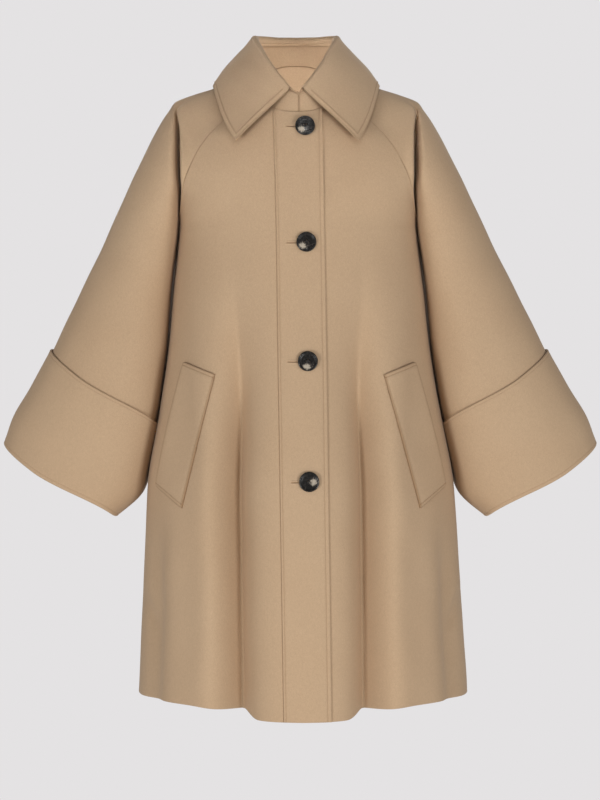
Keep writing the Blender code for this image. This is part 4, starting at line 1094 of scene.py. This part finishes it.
def horn_material(name, streak):
    """Dark horn, nearly black, with a pale smoky streak on one side of the face."""
    material = bpy.data.materials.new(name)
    material.use_nodes = True
    nodes, links = material.node_tree.nodes, material.node_tree.links
    shader = nodes["Principled BSDF"]
    place = nodes.new("ShaderNodeTexCoord")
    move = nodes.new("ShaderNodeMapping")
    move.inputs["Location"].default_value = (-streak[0], -streak[1], -streak[2])
    links.new(place.outputs["Object"], move.inputs["Vector"])
    grain = nodes.new("ShaderNodeTexNoise")
    grain.inputs["Scale"].default_value = 190
    grain.inputs["Detail"].default_value = 5
    grain.inputs["Distortion"].default_value = 1.6
    links.new(move.outputs["Vector"], grain.inputs["Vector"])
    reach = nodes.new("ShaderNodeVectorMath")
    reach.operation = "LENGTH"
    links.new(move.outputs["Vector"], reach.inputs[0])
    close = nodes.new("ShaderNodeMapRange")
    close.inputs["From Min"].default_value, close.inputs["From Max"].default_value = 0.0085, 0.001
    close.inputs["To Min"].default_value, close.inputs["To Max"].default_value = 0.0, 0.46
    links.new(reach.outputs["Value"], close.inputs["Value"])
    add = nodes.new("ShaderNodeMath")
    add.operation = "ADD"
    links.new(grain.outputs["Fac"], add.inputs[0])
    links.new(close.outputs["Result"], add.inputs[1])
    ramp = nodes.new("ShaderNodeValToRGB")
    ramp.color_ramp.elements[0].position = 0.50
    ramp.color_ramp.elements[0].color = (0.008, 0.007, 0.006, 1)
    ramp.color_ramp.elements[1].position = 0.86
    ramp.color_ramp.elements[1].color = (0.44, 0.38, 0.30, 1)
    smoky = ramp.color_ramp.elements.new(0.68)
    smoky.color = (0.040, 0.034, 0.030, 1)
    links.new(add.outputs["Value"], ramp.inputs["Fac"])
    links.new(ramp.outputs["Color"], shader.inputs["Base Color"])
    shader.inputs["Roughness"].default_value = 0.24
    shader.inputs["Specular IOR Level"].default_value = 0.35
    shader.inputs["Coat Weight"].default_value = 0.1
    shader.inputs["Coat Roughness"].default_value = 0.12
    scratches = nodes.new("ShaderNodeTexNoise")
    scratches.inputs["Scale"].default_value = 900
    links.new(place.outputs["Object"], scratches.inputs["Vector"])
    bump = nodes.new("ShaderNodeBump")
    bump.inputs["Strength"].default_value, bump.inputs["Distance"].default_value = 0.12, 0.0002
    links.new(scratches.outputs["Fac"], bump.inputs["Height"])
    links.new(bump.outputs["Normal"], shader.inputs["Normal"])
    return material


def thread_material(name, colour):
    material = bpy.data.materials.new(name)
    material.use_nodes = True
    nodes, links = material.node_tree.nodes, material.node_tree.links
    shader = nodes["Principled BSDF"]
    place = nodes.new("ShaderNodeTexCoord")
    twist = nodes.new("ShaderNodeTexNoise")
    twist.inputs["Scale"].default_value = 2600
    links.new(place.outputs["Object"], twist.inputs["Vector"])
    ramp = nodes.new("ShaderNodeValToRGB")
    ramp.color_ramp.elements[0].color = (*[c * 0.75 for c in colour], 1)
    ramp.color_ramp.elements[1].color = (*[min(c * 1.2, 1) for c in colour], 1)
    links.new(twist.outputs["Fac"], ramp.inputs["Fac"])
    links.new(ramp.outputs["Color"], shader.inputs["Base Color"])
    shader.inputs["Roughness"].default_value = 0.65
    shader.inputs["Sheen Weight"].default_value = 0.15
    return material


def only(thing):
    """Leave just this object selected, and make it the active one."""
    bpy.ops.object.select_all(action="DESELECT")
    thing.select_set(True)
    bpy.context.view_layer.objects.active = thing


def turned_button():
    """The button, face up at the origin, with its rim rounded and its face dished."""
    bpy.ops.object.select_all(action="DESELECT")
    bpy.ops.mesh.primitive_cylinder_add(vertices=64, radius=BUTTON_RADIUS * DISC_SHARE,
                                        depth=DISC_HEIGHT, location=(0, 0, DISC_HEIGHT / 2))
    button = bpy.context.object
    only(button)
    bpy.ops.object.mode_set(mode="EDIT")
    bpy.ops.mesh.select_mode(type="FACE")
    bpy.ops.mesh.select_all(action="DESELECT")
    shape = bmesh.from_edit_mesh(button.data)
    for face in shape.faces:
        face.select_set(face.normal.z > 0.9)
    bmesh.update_edit_mesh(button.data)
    for rise, grow in TURNING:
        bpy.ops.mesh.extrude_region_move(TRANSFORM_OT_translate={"value": (0, 0, rise)})
        bpy.ops.transform.resize(value=(grow, grow, 1), center_override=(0, 0, 0))
    bpy.ops.object.mode_set(mode="OBJECT")
    soft = button.modifiers.new("soft", "SUBSURF")
    soft.levels = soft.render_levels = 1
    bpy.ops.object.modifier_apply(modifier="soft")
    return button


def drilled_button(name, turn):
    """The button with its four holes, turned by this many degrees."""
    button = turned_button()
    button.name = name
    for corner in range(4):
        angle = math.radians(turn + 45 + 90 * corner)
        bpy.ops.object.select_all(action="DESELECT")
        bpy.ops.mesh.primitive_cylinder_add(
            vertices=20, radius=HOLE_RADIUS, depth=0.02,
            location=(HOLE_REACH * math.cos(angle), HOLE_REACH * math.sin(angle), 0))
        drill = bpy.context.object
        only(button)
        cut = button.modifiers.new("hole", "BOOLEAN")
        cut.operation, cut.solver, cut.object = "DIFFERENCE", "EXACT", drill
        bpy.ops.object.modifier_apply(modifier="hole")
        bpy.data.objects.remove(drill)
    bpy.ops.object.shade_smooth_by_angle(angle=0.7)
    return button


def button_thread(name, turn):
    """Two bars of three threads between the holes, and the shank below the button."""
    bars = []
    for pair in (0, 1):
        angle = math.radians(turn + 90 * pair)
        for strand in (-1, 0, 1):
            bpy.ops.object.select_all(action="DESELECT")
            bpy.ops.mesh.primitive_uv_sphere_add(segments=10, ring_count=6, radius=1)
            bar = bpy.context.object
            bar.scale = BAR_HALF
            bar.rotation_euler = (0, 0, angle)
            off = BAR_SHIFT * (1 if pair == 0 else -1) + strand * BAR_PITCH
            bar.location = (-math.sin(angle) * off, math.cos(angle) * off, BAR_LEVEL)
            bars.append(bar)
    bpy.ops.mesh.primitive_cylinder_add(vertices=20, radius=SHANK_RADIUS, depth=SHANK_LENGTH,
                                        location=(0, 0, SHANK_LEVEL))
    bars.append(bpy.context.object)
    bpy.ops.object.select_all(action="DESELECT")
    for bar in bars:
        bar.select_set(True)
    bpy.context.view_layer.objects.active = bars[0]
    bpy.ops.object.transform_apply()
    bpy.ops.object.join()
    bars[0].name = name
    bpy.ops.object.shade_smooth()
    return bars[0]


def set_in_place(thing, place, normal):
    """Turn and move a piece's mesh so that its z axis is the normal at this place."""
    turn = Vector(normal).to_track_quat("Z", "Y").to_matrix().to_4x4()
    turn.translation = place
    only(thing)
    thing.data.transform(turn)


STREAKS = (               # x, z of the pale streak on each button
    (-0.0052, -0.0048), (-0.0056, -0.0050), (-0.0010, -0.0075), (0.0062, 0.0004),
)
STREAK_LEVEL = 0.002
dark_thread = thread_material("dark_thread", (0.035, 0.028, 0.024))
for i, (height, turn, _) in enumerate(BUTTONHOLES):
    place, normal, _, _ = cover.ray_cast(Vector((BUTTON_X, -1, height)), Vector((0, 1, 0)))
    normal = -normal if normal.y > 0 else normal
    facing = (normal * (1 - UPRIGHT) + Vector((0, -UPRIGHT, 0))).normalized()
    seat = Vector(hang(np.array(place)))
    seat.y -= BUTTON_ROOM + BUTTON_RADIUS * math.sin(facing.angle(normal))
    name = "horn_button_%d" % (i + 1)
    button = drilled_button(name, turn)
    thread = button_thread("button_thread_%d" % (i + 1), turn)
    for thing in (button, thread):
        set_in_place(thing, seat, facing)
        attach(thing, "root")
    streak = seat + Vector((STREAKS[i][0], 0, STREAKS[i][1])) + facing * STREAK_LEVEL
    button.data.materials.clear()
    button.data.materials.append(horn_material(name, streak))
    thread.data.materials.clear()
    thread.data.materials.append(dark_thread)
    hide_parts("button_%d" % (i + 1))

# Sewing: rows of short stitches in camel thread, each sunk a little into the wool, along the
# collar, the band, the cuffs and the pockets, and the close stitches round the buttonholes.
STITCH, STITCH_GAP, THREAD = 0.0030, 0.0009, 0.00022
NECK_STITCH, NECK_GAP = 0.0022, 0.0018
FALL_SUNK, BAND_SUNK, CUFF_SUNK = 0.0007, 0.0005, (0.0002, 0.0004)    # how deep stitches lie
INNER_SUNK, WELT_SUNK = 0.0002, 0.0006
FRONT_EDGE = 0.034                     # the fall's front edges are stitched from here to its points
OVERCAST, OVERCAST_GAP = 0.0010, 0.0002
OVERCAST_OFF, OVERCAST_REACH, OVERCAST_POINTS = 0.0016, 0.004, 12


def one_stitch():
    """Points and faces of a small ball, to be drawn out to a stitch."""
    bpy.ops.object.select_all(action="DESELECT")
    bpy.ops.mesh.primitive_uv_sphere_add(segments=6, ring_count=4, radius=1)
    ball = bpy.context.object
    points = np.array([vertex.co[:] for vertex in ball.data.vertices])
    faces = [tuple(polygon.vertices) for polygon in ball.data.polygons]
    bpy.data.objects.remove(ball)
    return points[:, [2, 1, 0]], [face[::-1] for face in faces]


STITCH_POINTS, STITCH_FACES = one_stitch()


def sewn(name, rows):
    """One piece of stitches along lines: each line is (points, normals, length, gap, depth)."""
    points, faces = [], []
    for line, normals, length, gap, sunk in rows:
        lengths = lengths_of(line)
        for start in np.arange(gap, lengths[-1] - length, length + gap):
            ends = at_lengths(line, [start, start + length])
            middle = at_lengths(line, [start + length / 2])[0]
            normal = unit(np.array([np.interp(start + length / 2, lengths, normals[:, k])
                                    for k in range(3)]))
            ahead = unit(ends[1] - ends[0])
            side = np.cross(normal, ahead)
            frame_of = np.stack([ahead * length / 2, side * THREAD, normal * THREAD])
            first = len(points)
            points += list(STITCH_POINTS @ frame_of + middle - normal * sunk)
            faces += [tuple(number + first for number in face) for face in STITCH_FACES]
    mesh = bpy.data.meshes.new(name)
    mesh.from_pydata(hang(np.array(points)).tolist(), [], faces)
    mesh.shade_smooth()
    piece = bpy.data.objects.new(name, mesh)
    bpy.context.scene.collection.objects.link(piece)
    piece.data.materials.append(camel_thread)
    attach(piece, "root")
    return piece


camel_thread = thread_material("camel_thread", (0.40, 0.25, 0.145))


def down_band(distance, at):
    """The line down the band that lies nearest to this distance from one of its edges."""
    column = int(np.argmin(np.abs(distance - at).mean(axis=0)))
    return band_points[:, column], band_normals[:, column]


def collar_seams():
    """Down one front edge of the fall, along its outer edge and up the other one."""
    half = fall_points.shape[1] // 2
    last = int(np.argmin(np.abs(fall_below[:, 0] - FALL_STITCH)))
    rows = [row for row in np.nonzero(fall_above[:, 0] > FRONT_EDGE)[0] if row <= last]
    first = [np.abs(fall_left[row, :half] - FALL_STITCH).argmin() for row in rows]
    second = [half + np.abs(fall_right[row, half:] - FALL_STITCH).argmin() for row in rows]
    path = list(zip(rows[:-1], first[:-1]))
    path += [(last, column) for column in range(first[-1], second[-1] + 1)]
    path += list(zip(rows[:-1], second[:-1]))[::-1]
    return np.array([fall_points[at] for at in path]), np.array([fall_normals[at] for at in path])


sewn("collar_stitches", [(*collar_seams(), STITCH, STITCH_GAP, FALL_SUNK)])
inside_row = int(np.argmin(np.abs(fall_above[:, 0] - COLLAR_STITCH)))
sewn("neck_stitches", [(fall_points[inside_row, 4:-4], fall_normals[inside_row, 4:-4],
                        NECK_STITCH, NECK_GAP, INNER_SUNK)])
sewn("band_stitches", [(*down_band(distance, at), STITCH, STITCH_GAP, BAND_SUNK)
                       for distance, at in zip((band_left, band_right), BAND_STITCH)])
sewn("cuff_stitches", [(*line, STITCH, STITCH_GAP, sunk) for lines in cuff_lines
                       for line, sunk in zip(lines, CUFF_SUNK)])
welt_rows = []
for points, normals, over, down in welts.values():
    high, wide = down[-1], over[-1]
    inner = int(np.argmin(np.abs(wide - over - INNER_STITCH)))
    welt_rows.append((points[3:-3, inner], normals[3:-3, inner], STITCH, STITCH_GAP, INNER_SUNK))
    for distance in (WELT_STITCH, high - WELT_STITCH):
        row = int(np.argmin(np.abs(down - distance)))
        welt_rows.append((points[row, 3:-3], normals[row, 3:-3], STITCH, STITCH_GAP, WELT_SUNK))
sewn("pocket_stitches", welt_rows)
lips = []
for height, _, start in BUTTONHOLES:
    for side in (-1, 1):
        level = height + side * OVERCAST_OFF
        hits = [cover.ray_cast(Vector((x, -1, level)), Vector((0, 1, 0)))[0]
                for x in np.linspace(start - SLIT_WIDTH, BUTTON_X - OVERCAST_REACH, OVERCAST_POINTS)]
        lips.append((np.array(hits), np.tile(vec(0, -1, 0), (OVERCAST_POINTS, 1)),
                     OVERCAST, OVERCAST_GAP, 0.0))
sewn("buttonhole_stitches", lips)

# Studio: a pale floor well below the hanging coat, soft light from the front, the sides and behind
# with a little of it inside the neck, and the camera straight in front of the coat's middle.
FLOOR_RADIUS, FLOOR_LEVEL = 2.1, -1.46
CAMERA_Y, CAMERA_LEVEL = -3.4, -0.4725
bpy.ops.object.select_all(action="DESELECT")
bpy.ops.mesh.primitive_circle_add(vertices=96, radius=FLOOR_RADIUS, fill_type="NGON",
                                  location=(0, 0, FLOOR_LEVEL))
floor = bpy.context.object
floor.name = "studio_floor"
paper = bpy.data.materials.new("floor_paper")
paper.use_nodes = True
surface = paper.node_tree.nodes["Principled BSDF"]
surface.inputs["Base Color"].default_value = (0.80, 0.79, 0.79, 1)
surface.inputs["Roughness"].default_value = 0.9
floor.data.materials.append(paper)
world = bpy.data.worlds.new("studio")
world.use_nodes = True
bpy.context.scene.world = world
tree = world.node_tree
sky = tree.nodes["Background"]
sky.inputs["Color"].default_value = (0.768, 0.753, 0.760, 1)
sky.inputs["Strength"].default_value = 0.30
seen = tree.nodes.new("ShaderNodeBackground")
seen.inputs["Color"].default_value = (0.776, 0.761, 0.768, 1)
ray = tree.nodes.new("ShaderNodeLightPath")
both = tree.nodes.new("ShaderNodeMixShader")
tree.links.new(ray.outputs["Is Camera Ray"], both.inputs["Fac"])
tree.links.new(sky.outputs["Background"], both.inputs[1])
tree.links.new(seen.outputs["Background"], both.inputs[2])
tree.links.new(both.outputs["Shader"], tree.nodes["World Output"].inputs["Surface"])
LIGHTS = (                # name, place, size, watts, height it points at, half angle of its grid
    ("front_right_softbox", (1.8, -3.2, -1.25), 0.9, 55, -0.62, 90),
    ("front_left_softbox", (-1.8, -3.2, -1.25), 0.9, 55, -0.62, 90),
    ("top_softbox", (0.0, -2.8, 1.7), 0.5, 0.50, 0.22, 10),
    ("neck_softbox", (0.0, -0.03, -0.10), 0.06, 0.22, 0.030, 90),
    ("right_softbox", (2.8, -1.6, -0.4), 1.4, 5, -0.45, 90),
    ("left_softbox", (-2.8, -1.6, -0.2), 1.4, 6, -0.45, 90),
    ("back_softbox", (0.3, 3.4, 0.6), 1.8, 55, -0.45, 90),
)
for name, place, size, watts, aim, grid_angle in LIGHTS:
    light = bpy.data.lights.new(name, "AREA")
    light.energy, light.size, light.spread = watts, size, math.radians(2 * grid_angle)
    lamp = bpy.data.objects.new(name, light)
    lamp.visible_camera = False
    lamp.location = place
    ahead = Vector((0, 0.05, aim)) - lamp.location
    lamp.rotation_euler = ahead.to_track_quat("-Z", "Y").to_euler()
    bpy.context.scene.collection.objects.link(lamp)
camera = bpy.data.objects.new("camera", bpy.data.cameras.new("camera"))
camera.data.lens = 102
camera.location = (0, CAMERA_Y, CAMERA_LEVEL)
camera.rotation_euler = (math.radians(90), 0, 0)
bpy.context.scene.collection.objects.link(camera)
bpy.context.scene.camera = camera
bpy.context.scene.view_settings.view_transform = "Standard"
